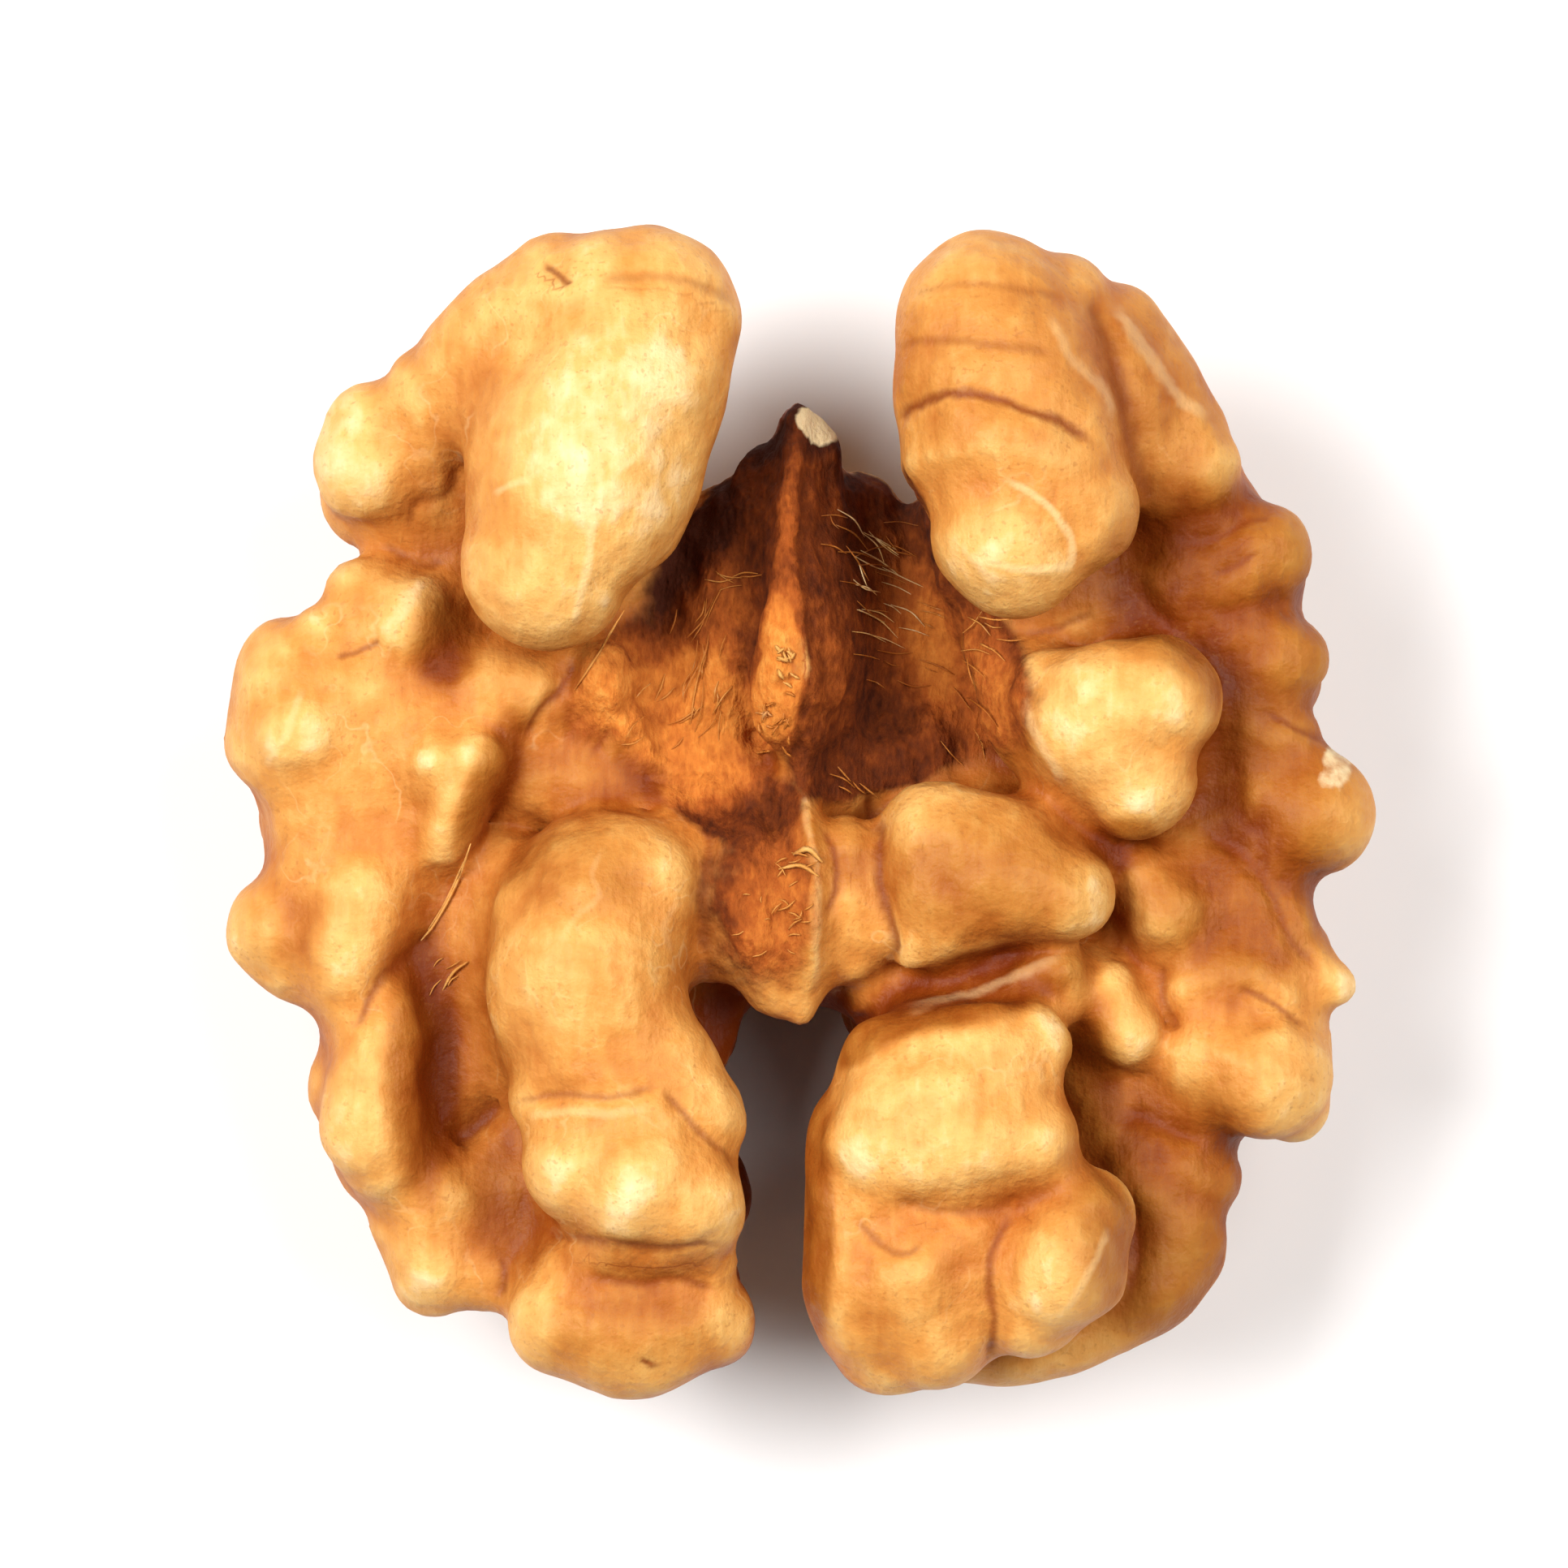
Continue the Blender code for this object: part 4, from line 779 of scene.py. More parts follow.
@dataclass
class KernelForm:
    """The skin of the kernel: folds fused on a fine step, then creased, wrinkled and measured.

    Attributes:
        step: Side of the cubes on which the folds are fused, in millimetres.
        easing: Passes that ease the creases between the folds.
        fill_passes: Passes that fill the valleys between the folds with a soft round.
        fill_refresh: Number of those passes for which the same normals serve.
        profile_sides: Points round a fold's profile.
        profile_domes: Rings in the dome at each end of a fold.
        span_steps: Points between two points of a crest line.
        line_steps: Points between two points of a crease or a vein.
        line_end: Share of a crease's or a vein's length over which it dies away.
        ball_stretch: Half length given to a fold that has only one point, in millimetres.
        lumps: Cell, height and seed of each noise of the skin's swell, in millimetres.
        rubble: The same for the noise that is added where the skin is browner and where painted shade lies.
        fibres: Height, cell and seed of each noise of the membrane's fibres, in millimetres.
        calm: Share of the swell that the membrane lacks.
        box_margin: Gap left between the skin and the solid's box, in millimetres.
        crest_passes: Passes of easing against which a crest is measured.
        hollow_passes: Further passes against which a hollow is measured.
        cleft_shade: How much hollower, in millimetres, a deep cleft counts for its colour: painted shade in
            the notch and the slit.
        wall_shade: The same for an upright wall: painted shade, darker and more orange than a crest as light
            bounces between the folds.
    """

    step: float = 0.228
    easing: int = 3
    fill_passes: int = 70
    fill_refresh: int = 10
    profile_sides: int = 28
    profile_domes: int = 7
    span_steps: int = 9
    line_steps: int = 6
    line_end: float = 0.12
    ball_stretch: float = 0.1
    lumps: tuple[tuple[float, float, int], ...] = ((3.2, 0.2, 11), (1.5, 0.11, 12), (0.75, 0.04, 13))
    rubble: tuple[tuple[float, float, int], ...] = ((1.9, 0.22, 14), (0.9, 0.08, 15))
    fibres: tuple[tuple[float, float, int], ...] = ((0.16, 1.0, 21), (0.13, 0.5, 22))
    calm: float = 0.6
    box_margin: float = 0.02
    crest_passes: int = 24
    hollow_passes: int = 260
    cleft_shade: float = 5.0
    wall_shade: float = 1.1

    def inner_fold(self, tall: float, crest: Sequence[Sequence[float]]) -> Surface:
        """A fold of the inner side: the round profile hangs under its crest line.

        Args:
            tall: Height over half width of the profile.
            crest: Points (x, y, crest height, half width).

        Returns:
            The points and the faces.
        """
        if len(crest) == 1:
            x, y, z, width = crest[0]
            crest = [(x - self.ball_stretch, y, z, width), (x + self.ball_stretch, y, z, width)]
        line = through_points(crest, self.span_steps)
        centres = line[:, :3] - np.outer(tall * line[:, 3], (0.0, 0.0, 1.0))
        return tube(centres, line[:, 3], tall, self.profile_sides, self.profile_domes)

    def back_centre(self, x: float, y: float, width: float) -> tuple[float, float, float]:
        """Centre of a fold of the given half width that touches the bowl of the back from inside.

        The bowl is the lower half of an ellipsoid, and the centre lies on one smaller by the width.
        """
        rise = 1.0 - (x / BACK_HALF_WIDTH) ** 2 - (y / BACK_HALF_LENGTH) ** 2
        return (x * (1.0 - width / BACK_HALF_WIDTH), y * (1.0 - width / BACK_HALF_LENGTH),
                RIM_HEIGHT - (BACK_DEPTH - width) * max(BACK_RIM_SINK, math.sqrt(max(0.0, rise))))

    def back_fold(self, number: int, rim_x: float, rim_y: float, rim_width: float,
                  foot_x: float, foot_y: float) -> Surface:
        """A fold of the back: a straight way in plan that sways by a sine, narrowing to its foot.

        Args:
            number: Its place in the table, which decides the side of the first sway.
            rim_x: Start at the rim.
            rim_y: Start at the rim.
            rim_width: Half width at the rim.
            foot_x: End beside the middle groove.
            foot_y: End beside the middle groove.

        Returns:
            The points and the faces.
        """
        span = np.array([foot_x - rim_x, foot_y - rim_y])
        across = np.array([-span[1], span[0]]) / np.linalg.norm(span)
        sway = BACK_WAVE * (-1) ** number
        rows = []
        for share in np.linspace(0.0, 1.0, BACK_STATIONS):
            place = np.array([rim_x, rim_y]) + span * share + across * sway * math.sin(2 * math.pi * share)
            width = BACK_FOOT_WIDTH + (rim_width - BACK_FOOT_WIDTH) * (1.0 - share) ** BACK_NARROWING
            rows.append((*self.back_centre(place[0], place[1], width), width))
        line = through_points(rows, self.span_steps)
        return tube(line[:, :3], line[:, 3], 1.0, self.profile_sides, self.profile_domes)

    def core(self, centre: Sequence[float], half: Sequence[float], above: float) -> Surface:
        """An egg-like body: an ellipsoid with its own height above its centre.

        Args:
            centre: Its middle.
            half: Half sizes, the last one downwards.
            above: Height above the middle.

        Returns:
            The points and the faces.
        """
        polar = np.linspace(0.0, math.pi, self.profile_sides)[:, None]
        turn = np.linspace(0.0, 2 * math.pi, 2 * self.profile_sides, endpoint=False)[None]
        up = np.cos(polar) + 0.0 * turn
        rings = np.stack([half[0] * np.sin(polar) * np.cos(turn), half[1] * np.sin(polar) * np.sin(turn),
                          np.where(up > 0.0, above, half[2]) * up], -1)
        return stitched(rings + np.asarray(centre))

    def fused(self) -> bpy.types.Object:
        """Fuses all folds into one skin and keeps its largest island.

        Returns:
            The object, still in millimetres and not centred.
        """
        surfaces = [self.inner_fold(tall, crest) for tall, crest in INNER_FOLDS.values()]
        surfaces += [self.back_fold(number, *row) for number, row in enumerate(BACK_FOLDS)]
        surfaces += [self.core(*row) for row in CORES]
        obj = mesh_object("walnut_skin", surfaces)
        remesh = obj.modifiers.new("fuse", "REMESH")
        remesh.mode = "VOXEL"
        remesh.voxel_size = self.step
        ease = obj.modifiers.new("ease", "SMOOTH")
        ease.factor = 0.5
        ease.iterations = self.easing
        graph = bpy.context.evaluated_depsgraph_get()
        mesh = bpy.data.meshes.new_from_object(obj.evaluated_get(graph))
        obj.modifiers.clear()
        obj.data = mesh
        self.keep_largest_island(mesh)
        mesh.shade_smooth()
        return obj

    @staticmethod
    def keep_largest_island(mesh: bpy.types.Mesh) -> None:
        """Drops all faces but those joined to the most points.

        Each point takes the lowest number found along its edges until nothing changes.
        """
        a, b = mesh_edges(mesh).T
        label = np.arange(len(mesh.vertices))
        while True:
            lowest = label.copy()
            np.minimum.at(lowest, a, label[b])
            np.minimum.at(lowest, b, label[a])
            lowest = lowest[lowest]
            if np.array_equal(lowest, label):
                break
            label = lowest
        keep = label == np.bincount(label).argmax()
        if keep.all():
            return
        solid = bmesh.new()
        solid.from_mesh(mesh)
        solid.verts.ensure_lookup_table()
        loose = [solid.verts[i] for i in np.flatnonzero(~keep).tolist()]
        bmesh.ops.delete(solid, geom=loose, context="VERTS")
        solid.to_mesh(mesh)
        solid.free()

    @staticmethod
    def pull(points: Points, edges: Points) -> Points:
        """The way from each point to the mean of its neighbours along the edges."""
        a, b = edges.T
        count = len(points)
        degree = np.bincount(a, minlength=count) + np.bincount(b, minlength=count)
        mean = np.stack([np.bincount(a, points[b, k], count) + np.bincount(b, points[a, k], count)
                         for k in range(3)], -1) / degree[:, None]
        return mean - points

    def eased(self, points: Points, edges: Points, passes: int) -> Points:
        """Points moved half way to the mean of their neighbours, over and over.

        Args:
            points: The places, shape (count, 3).
            edges: Pairs of point numbers, shape (count, 2).
            passes: How often to move them.

        Returns:
            The moved places.
        """
        for _ in range(passes):
            points = points + 0.5 * self.pull(points, edges)
        return points

    def filled(self, mesh: bpy.types.Mesh, edges: Points) -> Points:
        """Fills the valleys and leaves the crests, so that the folds run into each other.

        Each pass moves a point half way to the mean of its neighbours, less the part of that way
        that goes inwards.

        Args:
            mesh: The fused skin, which is moved too.
            edges: Pairs of point numbers, shape (count, 2).

        Returns:
            The moved places.
        """
        points = mesh_points(mesh)
        for number in range(self.fill_passes):
            if number % self.fill_refresh == 0:
                mesh.vertices.foreach_set("co", points.ravel())
                mesh.update()
                normals = mesh_points(mesh, "normal")
            way = self.pull(points, edges)
            inward = np.minimum(0.0, np.einsum("ij,ij->i", way, normals))
            points = points + 0.5 * (way - inward[:, None] * normals)
        mesh.vertices.foreach_set("co", points.ravel())
        mesh.update()
        return mesh_points(mesh)

    def lined(self, points: Points, normals: Points,
              lines: Sequence[Line]) -> tuple[Points, Points, Points]:
        """Presses thin lines into the skin, or raises them.

        A point moves along its normal by rise times exp(-(d / width)^2), d being its distance
        from the line in plan, and less towards the line's two ends and on steep walls.

        Args:
            points: Places in millimetres.
            normals: Their unit normals.
            lines: The creases or the veins.

        Returns:
            The moved places, the signed distance from the nearest line in half widths, and that
            line's strength.
        """
        upward = smoothstep(0.05, 0.4, normals[:, 2])
        moved = points.copy()
        offset = np.full(len(points), FAR_OFF)
        strength = np.zeros(len(points))
        for line in lines:
            distance, share = offset_from_line(points[:, :2], through_points(line.path, self.line_steps))
            distance = distance / line.width
            ends = smoothstep(0.0, self.line_end, share) * smoothstep(0.0, self.line_end, 1.0 - share) * upward
            near = 1.0 - smoothstep(1.5, 2.3, np.abs(distance))
            moved += (line.rise * ends * np.exp(-distance ** 2))[:, None] * normals
            nearer = np.abs(distance) < np.abs(offset)
            offset = np.where(nearer, distance, offset)
            strength = np.where(nearer, line.strength * ends * near, strength)
        return moved, offset, strength

    def cleft(self, points: Points) -> Points:
        """Share of a place that lies deep in the notch above or in the slit below, where the colour gets
        painted shade.

        It is the product of three smoothsteps: near the middle line, away from the middle strap,
        and under the tops of the lobes.
        """
        aside = 1.0 - smoothstep(1.6, 3.4, np.abs(points[:, 0] + np.where(points[:, 1] < 0.0, 0.5, -0.8)))
        away = np.maximum(smoothstep(4.6, 6.2, -points[:, 1]), smoothstep(9.4, 10.6, points[:, 1]))
        return aside * away * (1.0 - smoothstep(8.6, 11.6, points[:, 2]))

    def wrinkled(self, points: Points, normals: Points, membrane: Points, tan: Points) -> Points:
        """Gives the skin its uneven swell, and the membrane its fibres.

        The swell is a sum of smooth noises of falling size. The fibres are noise squeezed across
        the ridge of the membrane, so that they run down its flanks.

        Args:
            points: Places in millimetres.
            normals: Their unit normals.
            membrane: Share of membrane at each place.
            tan: How much browner the skin is there, and where painted shade lies, as those places are also
                rougher.

        Returns:
            The moved places.
        """
        swell = sum(amount * lattice_noise(points, cell, seed) for cell, amount, seed in self.lumps)
        rubble = sum(amount * lattice_noise(points, cell, seed) for cell, amount, seed in self.rubble)
        swell = swell + rubble * np.clip(tan, 0.0, 1.0)
        strands = np.stack([points[:, 0] * 1.6 + points[:, 1] * 0.4, points[:, 1] * 0.8, points[:, 2]], -1)
        fibres = membrane * sum(amount * lattice_noise(strands, cell, seed)
                                for amount, cell, seed in self.fibres)
        return points + (swell * (1.0 - self.calm * membrane) + fibres)[:, None] * normals

    def placement(self, points: Points) -> Placement:
        """Where the skin goes: centred in plan, its top just under the solid's, and no wider.

        Args:
            points: Places of the finished skin in the table's millimetres.

        Returns:
            The move and the scale that bring it there.
        """
        room = np.asarray(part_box(NODE)[1]) / MM - self.box_margin
        low, high = points.min(axis=0), points.max(axis=0)
        scale = np.minimum(1.0, room / (0.5 * (high - low)))
        scale[2] = 1.0
        middle = 0.5 * (low + high)
        shift = -middle * scale
        shift[2] = room[2] - high[2]
        return Placement(tuple(scale.tolist()), tuple(shift.tolist()))

    def build(self) -> tuple[bpy.types.Object, Points, Placement]:
        """Makes the skin and stores its measures as attributes of its points.

        Returns:
            The finished object, in metres in the frame, the skin's places in the table's
            millimetres, and its placement.
        """
        obj = self.fused()
        mesh = obj.data
        edges = mesh_edges(mesh)
        points = self.filled(mesh, edges)
        normals = mesh_points(mesh, "normal")
        top = smoothstep(-0.2, 0.3, normals[:, 2]) * smoothstep(3.0, 6.0, points[:, 2])
        below_arms = 1.0 - smoothstep(12.6, 13.6, points[:, 2])
        membrane = top * below_arms * covered(points, MEMBRANE, 0.0)
        flesh = covered(points, FLESH, 0.0) * smoothstep(8.0, 8.6, points[:, 2])
        # browner skin and painted shade, both from one table of patches
        tan = top * covered(points, TAN_AND_SHADING, -1.0)
        fine = self.eased(points, edges, self.crest_passes)
        broad = self.eased(fine, edges, self.hollow_passes)
        # crest and hollow lighten convex places and darken concave ones in the colour: partly the skin's own
        # tone, partly painted highlight and painted shade
        crest = np.einsum("ij,ij->i", points - fine, normals)
        hollow = np.einsum("ij,ij->i", points - broad, normals)
        # painted shade: the deep notch and slit, and every upright wall, count as hollower, so their colour is
        # darker
        hollow -= self.cleft_shade * self.cleft(points)
        hollow -= self.wall_shade * (1.0 - np.abs(normals[:, 2])) ** 2
        moved, crease_offset, crease_strength = self.lined(points, normals, CREASES)
        moved, vein_offset, vein_strength = self.lined(moved, normals, VEINS)
        moved = self.wrinkled(moved, normals, membrane, tan)
        placement = self.placement(moved)
        placed = placement.place(moved)
        placed[:, 2] = np.maximum(placed[:, 2], 0.0)
        mesh.vertices.foreach_set("co", (placed * MM).ravel())
        mesh.update()
        measures = {Layer.CREST: crest, Layer.HOLLOW: hollow, Layer.MEMBRANE: membrane, Layer.TAN_AND_SHADING: tan,
                    Layer.CREASE_OFFSET: crease_offset, Layer.CREASE_STRENGTH: crease_strength,
                    Layer.VEIN_OFFSET: vein_offset, Layer.VEIN_STRENGTH: vein_strength, Layer.FLESH: flesh}
        for layer, values in measures.items():
            mesh.attributes.new(layer.value, "FLOAT", "POINT").data.foreach_set("value", values)
        log.info("skin: %d points, crest %.3f to %.3f, hollow %.2f to %.2f", len(moved),
                 *np.percentile(crest, (2, 98)), *np.percentile(hollow, (2, 98)))
        return obj, moved, placement


@dataclass
class LooseFibres:
    """Dry fibres that lie on the skin.

    Attributes:
        steps: Points between two points of a route.
        sides: Points round a fibre.
        domes: Rings in the dome at each end.
        reach: How far round a point of the route the skin is felt for its height, in millimetres.
        sunk: How deep the two ends sink into the skin, in millimetres.
        seed: Start of the random draws of the tufts.
        bow: How far a short fibre's middle stands aside, as a share of half its length.
        tall: Height over half width of a short fibre.
        highest: Most lift of a short fibre, in millimetres.
        thickness: Thinnest and thickest short fibre, as shares of its tuft's half width.
        thinning: Share of its half width that a fibre has lost at its ends.
    """

    steps: int = 4
    sides: int = 4
    domes: int = 1
    reach: float = 0.24
    sunk: float = 0.06
    seed: int = 31
    bow: float = 0.25
    tall: float = 0.8
    highest: float = 0.04
    thickness: tuple[float, float] = (0.7, 1.2)
    thinning: float = 0.6

    def surface(self, points: Points, fibre: Fibre) -> Surface:
        """One fibre: a thin flat tube along its route, a little above the skin.

        Its centre lies at the skin's height plus lift * sin(pi s) - sunk * |2 s - 1|^4, where s
        runs from 0 to 1 along it, and its half width is half * (1 - thinning * |2 s - 1|^2).

        Args:
            points: Places of the finished skin in the table's millimetres.
            fibre: Its sizes and its route.

        Returns:
            The points and the faces.
        """
        line = through_points(fibre.route, self.steps)[:, :2]
        gap = np.hypot(points[:, 0] - line[:, :1], points[:, 1] - line[:, 1:2])
        height = np.where(gap < self.reach, points[:, 2], -np.inf).max(axis=1)
        height = np.where(np.isfinite(height), height, height[np.isfinite(height)].mean())
        share = np.linspace(0.0, 1.0, len(line))
        swing = np.abs(2.0 * share - 1.0)
        height = height + fibre.lift * np.sin(np.pi * share) - self.sunk * swing ** 4
        widths = fibre.half * (1.0 - self.thinning * swing ** 2)
        return tube(np.column_stack([line, height]), widths, fibre.tall, self.sides, self.domes)

    def tufts(self) -> list[Fibre]:
        """The short fibres: each is a bow through three points about its own heading."""
        draws = np.random.default_rng(self.seed)
        fibres = []
        for tuft in TUFTS:
            for _ in range(tuft.number):
                middle = np.asarray(tuft.centre) + draws.uniform(-1.0, 1.0, 2) * tuft.area
                turn = math.radians(tuft.heading + draws.normal(0.0, tuft.spread))
                along = np.array([math.cos(turn), math.sin(turn)]) * draws.uniform(*tuft.lengths) / 2.0
                across = np.array([-along[1], along[0]]) * draws.uniform(-self.bow, self.bow)
                route = np.stack([middle - along, middle + across, middle + along])
                half = tuft.half * draws.uniform(*self.thickness)
                lift = draws.uniform(0.0, self.highest)
                fibres.append(Fibre(half, self.tall, lift, tuft.paleness, route))
        return fibres

    def build(self, points: Points, placement: Placement) -> bpy.types.Object:
        """Makes all fibres as one object, each with its own paleness.

        Args:
            points: Places of the finished skin in the table's millimetres.
            placement: Where the skin was put.

        Returns:
            The object, in metres in the frame.
        """
        fibres = (*FIBRES, *self.tufts())
        surfaces = [self.surface(points, fibre) for fibre in fibres]
        paleness = np.concatenate([np.full(len(surface[0]), fibre.paleness)
                                   for surface, fibre in zip(surfaces, fibres)])
        obj = mesh_object("loose_fibres", surfaces)
        mesh = obj.data
        placed = placement.place(mesh_points(mesh, "co"))
        mesh.vertices.foreach_set("co", (placed * MM).ravel())
        mesh.update()
        mesh.attributes.new(Layer.CREST.value, "FLOAT", "POINT").data.foreach_set("value", paleness)
        mesh.shade_smooth()
        return obj


def add_node(tree: bpy.types.NodeTree, kind: str, links: dict[Any, Any] | None = None,
             stops: Sequence[tuple[float, str]] = (), **settings: Any) -> bpy.types.Node:
    """Adds one node with its settings, values and links.

    Args:
        tree: The material's node tree.
        kind: Blender's name of the node's type.
        links: For each input, by name or number, a socket to link or a value to set.
        stops: Positions and sRGB hex colours of a colour ramp.
        settings: Attributes of the node.

    Returns:
        The new node.
    """
    node = tree.nodes.new(kind)
    for name, value in settings.items():
        setattr(node, name, value)
    for number, (position, colour) in enumerate(stops):
        elements = node.color_ramp.elements
        element = elements[number] if number < 2 else elements.new(position)
        element.position = position
        element.color = linear(colour)
    for name, source in (links or {}).items():
        if isinstance(source, bpy.types.NodeSocket):
            tree.links.new(source, node.inputs[name])
        else:
            node.inputs[name].default_value = source
    return node


@dataclass(frozen=True)
class Weights:
    """How much each measure or pattern of the skin counts in a sum; what is left out counts nothing."""

    hollow: float = 0.0
    tan: float = 0.0
    crest: float = 0.0
    blotch: float = 0.0
    mottle: float = 0.0
    streak: float = 0.0
    network: float = 0.0
    grain: float = 0.0
    fibre: float = 0.0


@dataclass(frozen=True)
class SeedCoat:
    """Walnut seed coat (pellicle), dried on the kernel: thin, satin, tawny over pale flesh.

    It gives the eye golden crests and browner orange valleys, partly painted highlight and painted shade, with
    fine dark speckles and paler veins. Where the papery septum still clings it is dark, matt and fibrous.

    Attributes:
        tones: Colours of the skin, from its deepest valley to its highest crest.
        septum: Colours of the membrane, from its darkest to its lightest.
        tan: Colour by which the browner places, and the places of painted shade, are multiplied.
        tan_and_shading_share: Most of that tint.
        line: Colour of a crease.
        line_share: Most of it in the middle of a crease.
        vein: Colour of a vein and of the fine network.
        vein_share: Most of it in the middle of a vein.
        network_share: Most of it in the network.
        speckle: Colour of the fine dots.
        speckle_share: Most of it in a dot.
        flesh: Colour of the broken flesh.
        blotch_mm: Width of the broadest unevenness of colour.
        mottle_mm: Width of the finer unevenness.
        network_mm: Mesh of the network of thin veins.
        streak_mm: Width and length of the streaks.
        speckle_mm: Width of a dot.
        wrinkle_mm: Width of the wrinkles that fray every edge.
        grain_mm: Width of the finest grain.
        fibre_mm: Width of the membrane's fibres.
        middle_tone: Tone of an even place, from 0 to 1 along the tones.
        tone_of: What each measure adds to the tone; hollow and crest add painted shade and painted highlight
            as well as the skin's own tone.
        septum_tone_of: The same on the membrane.
        relief_of: Height in millimetres that each pattern gives the surface.
        roughness: Roughness of the bare skin.
        matt: What the membrane adds to it.
        gloss: Specular level, low because the skin is dry.
        subsurface: Share of light that passes through the thin skin.
    """

    tones: tuple[tuple[float, str], ...] = (
        (0.0, "#7C3208"), (0.2, "#904610"), (0.4, "#AE6728"), (0.6, "#C3843E"), (0.8, "#D2A05A"),
        (1.0, "#E0C290"))
    septum: tuple[tuple[float, str], ...] = (
        (0.0, "#3A1404"), (0.25, "#642A07"), (0.5, "#924816"), (0.75, "#BA6C28"), (1.0, "#D49042"))
    tan: str = "#B79A50"
    tan_and_shading_share: float = 0.75
    line: str = "#74300A"
    line_share: float = 0.85
    vein: str = "#DDBE88"
    vein_share: float = 0.6
    network_share: float = 0.22
    speckle: str = "#8A5020"
    speckle_share: float = 0.3
    flesh: str = "#CFB88E"
    blotch_mm: float = 2.2
    mottle_mm: float = 0.8
    network_mm: float = 1.7
    streak_mm: tuple[float, float] = (0.3, 1.5)
    speckle_mm: float = 0.16
    wrinkle_mm: float = 0.5
    grain_mm: float = 0.12
    fibre_mm: float = 0.3
    middle_tone: float = 0.5
    tone_of: Weights = Weights(hollow=0.16, tan=-0.22, crest=1.5, blotch=0.4, mottle=0.4, streak=0.2)
    septum_tone_of: Weights = Weights(hollow=0.1, tan=0.52, mottle=0.5, fibre=0.5)
    relief_of: Weights = Weights(mottle=0.2, grain=0.022, streak=0.05, network=0.02, fibre=0.17)
    roughness: float = 0.5
    matt: float = 0.35
    gloss: float = 0.16
    subsurface: float = 0.12

    def material(self) -> bpy.types.Material:
        """Builds the material from the measures that the skin carries.

        Returns:
            The material.
        """
        made = bpy.data.materials.new("walnut_seed_coat")
        made.use_nodes = True
        tree = made.node_tree
        tree.nodes.clear()

        def layer(name: Layer) -> bpy.types.NodeSocket:
            """The socket that reads one measure of the skin."""
            return add_node(tree, "ShaderNodeAttribute", attribute_name=name.value).outputs["Fac"]

        def maths(operation: str, *values: Any) -> bpy.types.NodeSocket:
            """The result of one sum of numbers or sockets."""
            return add_node(tree, "ShaderNodeMath", dict(enumerate(values)), operation=operation).outputs[0]

        def times(value: Any, amount: Any) -> bpy.types.NodeSocket:
            """The product of two values."""
            return maths("MULTIPLY", value, amount)

        def swing(value: Any, amount: float) -> bpy.types.NodeSocket:
            """How far a pattern is from its middle of one half, times an amount."""
            return maths("MULTIPLY_ADD", value, amount, -0.5 * amount)

        def total(first: Any, *others: Any) -> bpy.types.NodeSocket:
            """The sum of all values."""
            for other in others:
                first = maths("ADD", first, other)
            return first

        def blend(share: Any, first: Any, second: Any, how: str = "MIX") -> bpy.types.NodeSocket:
            """Two colours blended by a share; colours are sockets or sRGB hex."""
            pair = [linear(c) if isinstance(c, str) else c for c in (first, second)]
            node = add_node(tree, "ShaderNodeMix", {0: share, 6: pair[0], 7: pair[1]},
                            data_type="RGBA", blend_type=how)
            return node.outputs[2]

        def ranged(value: Any, low: float, high: float, to_low: float,
                   to_high: float) -> bpy.types.NodeSocket:
            """A value carried from one range to another by a smoothstep."""
            return add_node(tree, "ShaderNodeMapRange", {0: value, 1: low, 2: high, 3: to_low, 4: to_high},
                            interpolation_type="SMOOTHSTEP").outputs[0]

        def laid(scale: Sequence[float], turn: float = 0.0) -> bpy.types.NodeSocket:
            """Places turned about the upright, then scaled."""
            return add_node(tree, "ShaderNodeMapping",
                            {"Vector": place, "Rotation": (0.0, 0.0, turn), "Scale": scale}).outputs[0]

        def noise(cell_mm: float, detail: float, where: bpy.types.NodeSocket) -> bpy.types.NodeSocket:
            """Noise whose features are about cell_mm wide."""
            return add_node(tree, "ShaderNodeTexNoise",
                            {"Vector": where, "Scale": 1.0 / cell_mm, "Detail": detail}).outputs["Fac"]

        def ramp(value: bpy.types.NodeSocket, stops: Sequence[tuple[float, str]]) -> bpy.types.NodeSocket:
            """The colour at a value along a row of stops."""
            return add_node(tree, "ShaderNodeValToRGB", {0: value}, stops=stops).outputs[0]

        coordinates = add_node(tree, "ShaderNodeTexCoord").outputs["Object"]
        place = add_node(tree, "ShaderNodeMapping",
                         {"Vector": coordinates, "Scale": (1.0 / MM,) * 3}).outputs[0]
        blotch = noise(self.blotch_mm, 3.0, place)
        wrinkle = noise(self.wrinkle_mm, 3.0, place)
        grain = noise(self.grain_mm, 2.0, place)
        mottle = noise(self.mottle_mm, 5.0, place)
        streak = noise(1.0, 3.0, laid((1.0 / self.streak_mm[0], 1.0 / self.streak_mm[1], 1.0), -0.35))
        fibre = noise(self.fibre_mm, 5.0, laid((1.7, 0.8, 1.0), 0.25))
        hollow, crest, tan_and_shading_value = layer(Layer.HOLLOW), layer(Layer.CREST), layer(Layer.TAN_AND_SHADING)

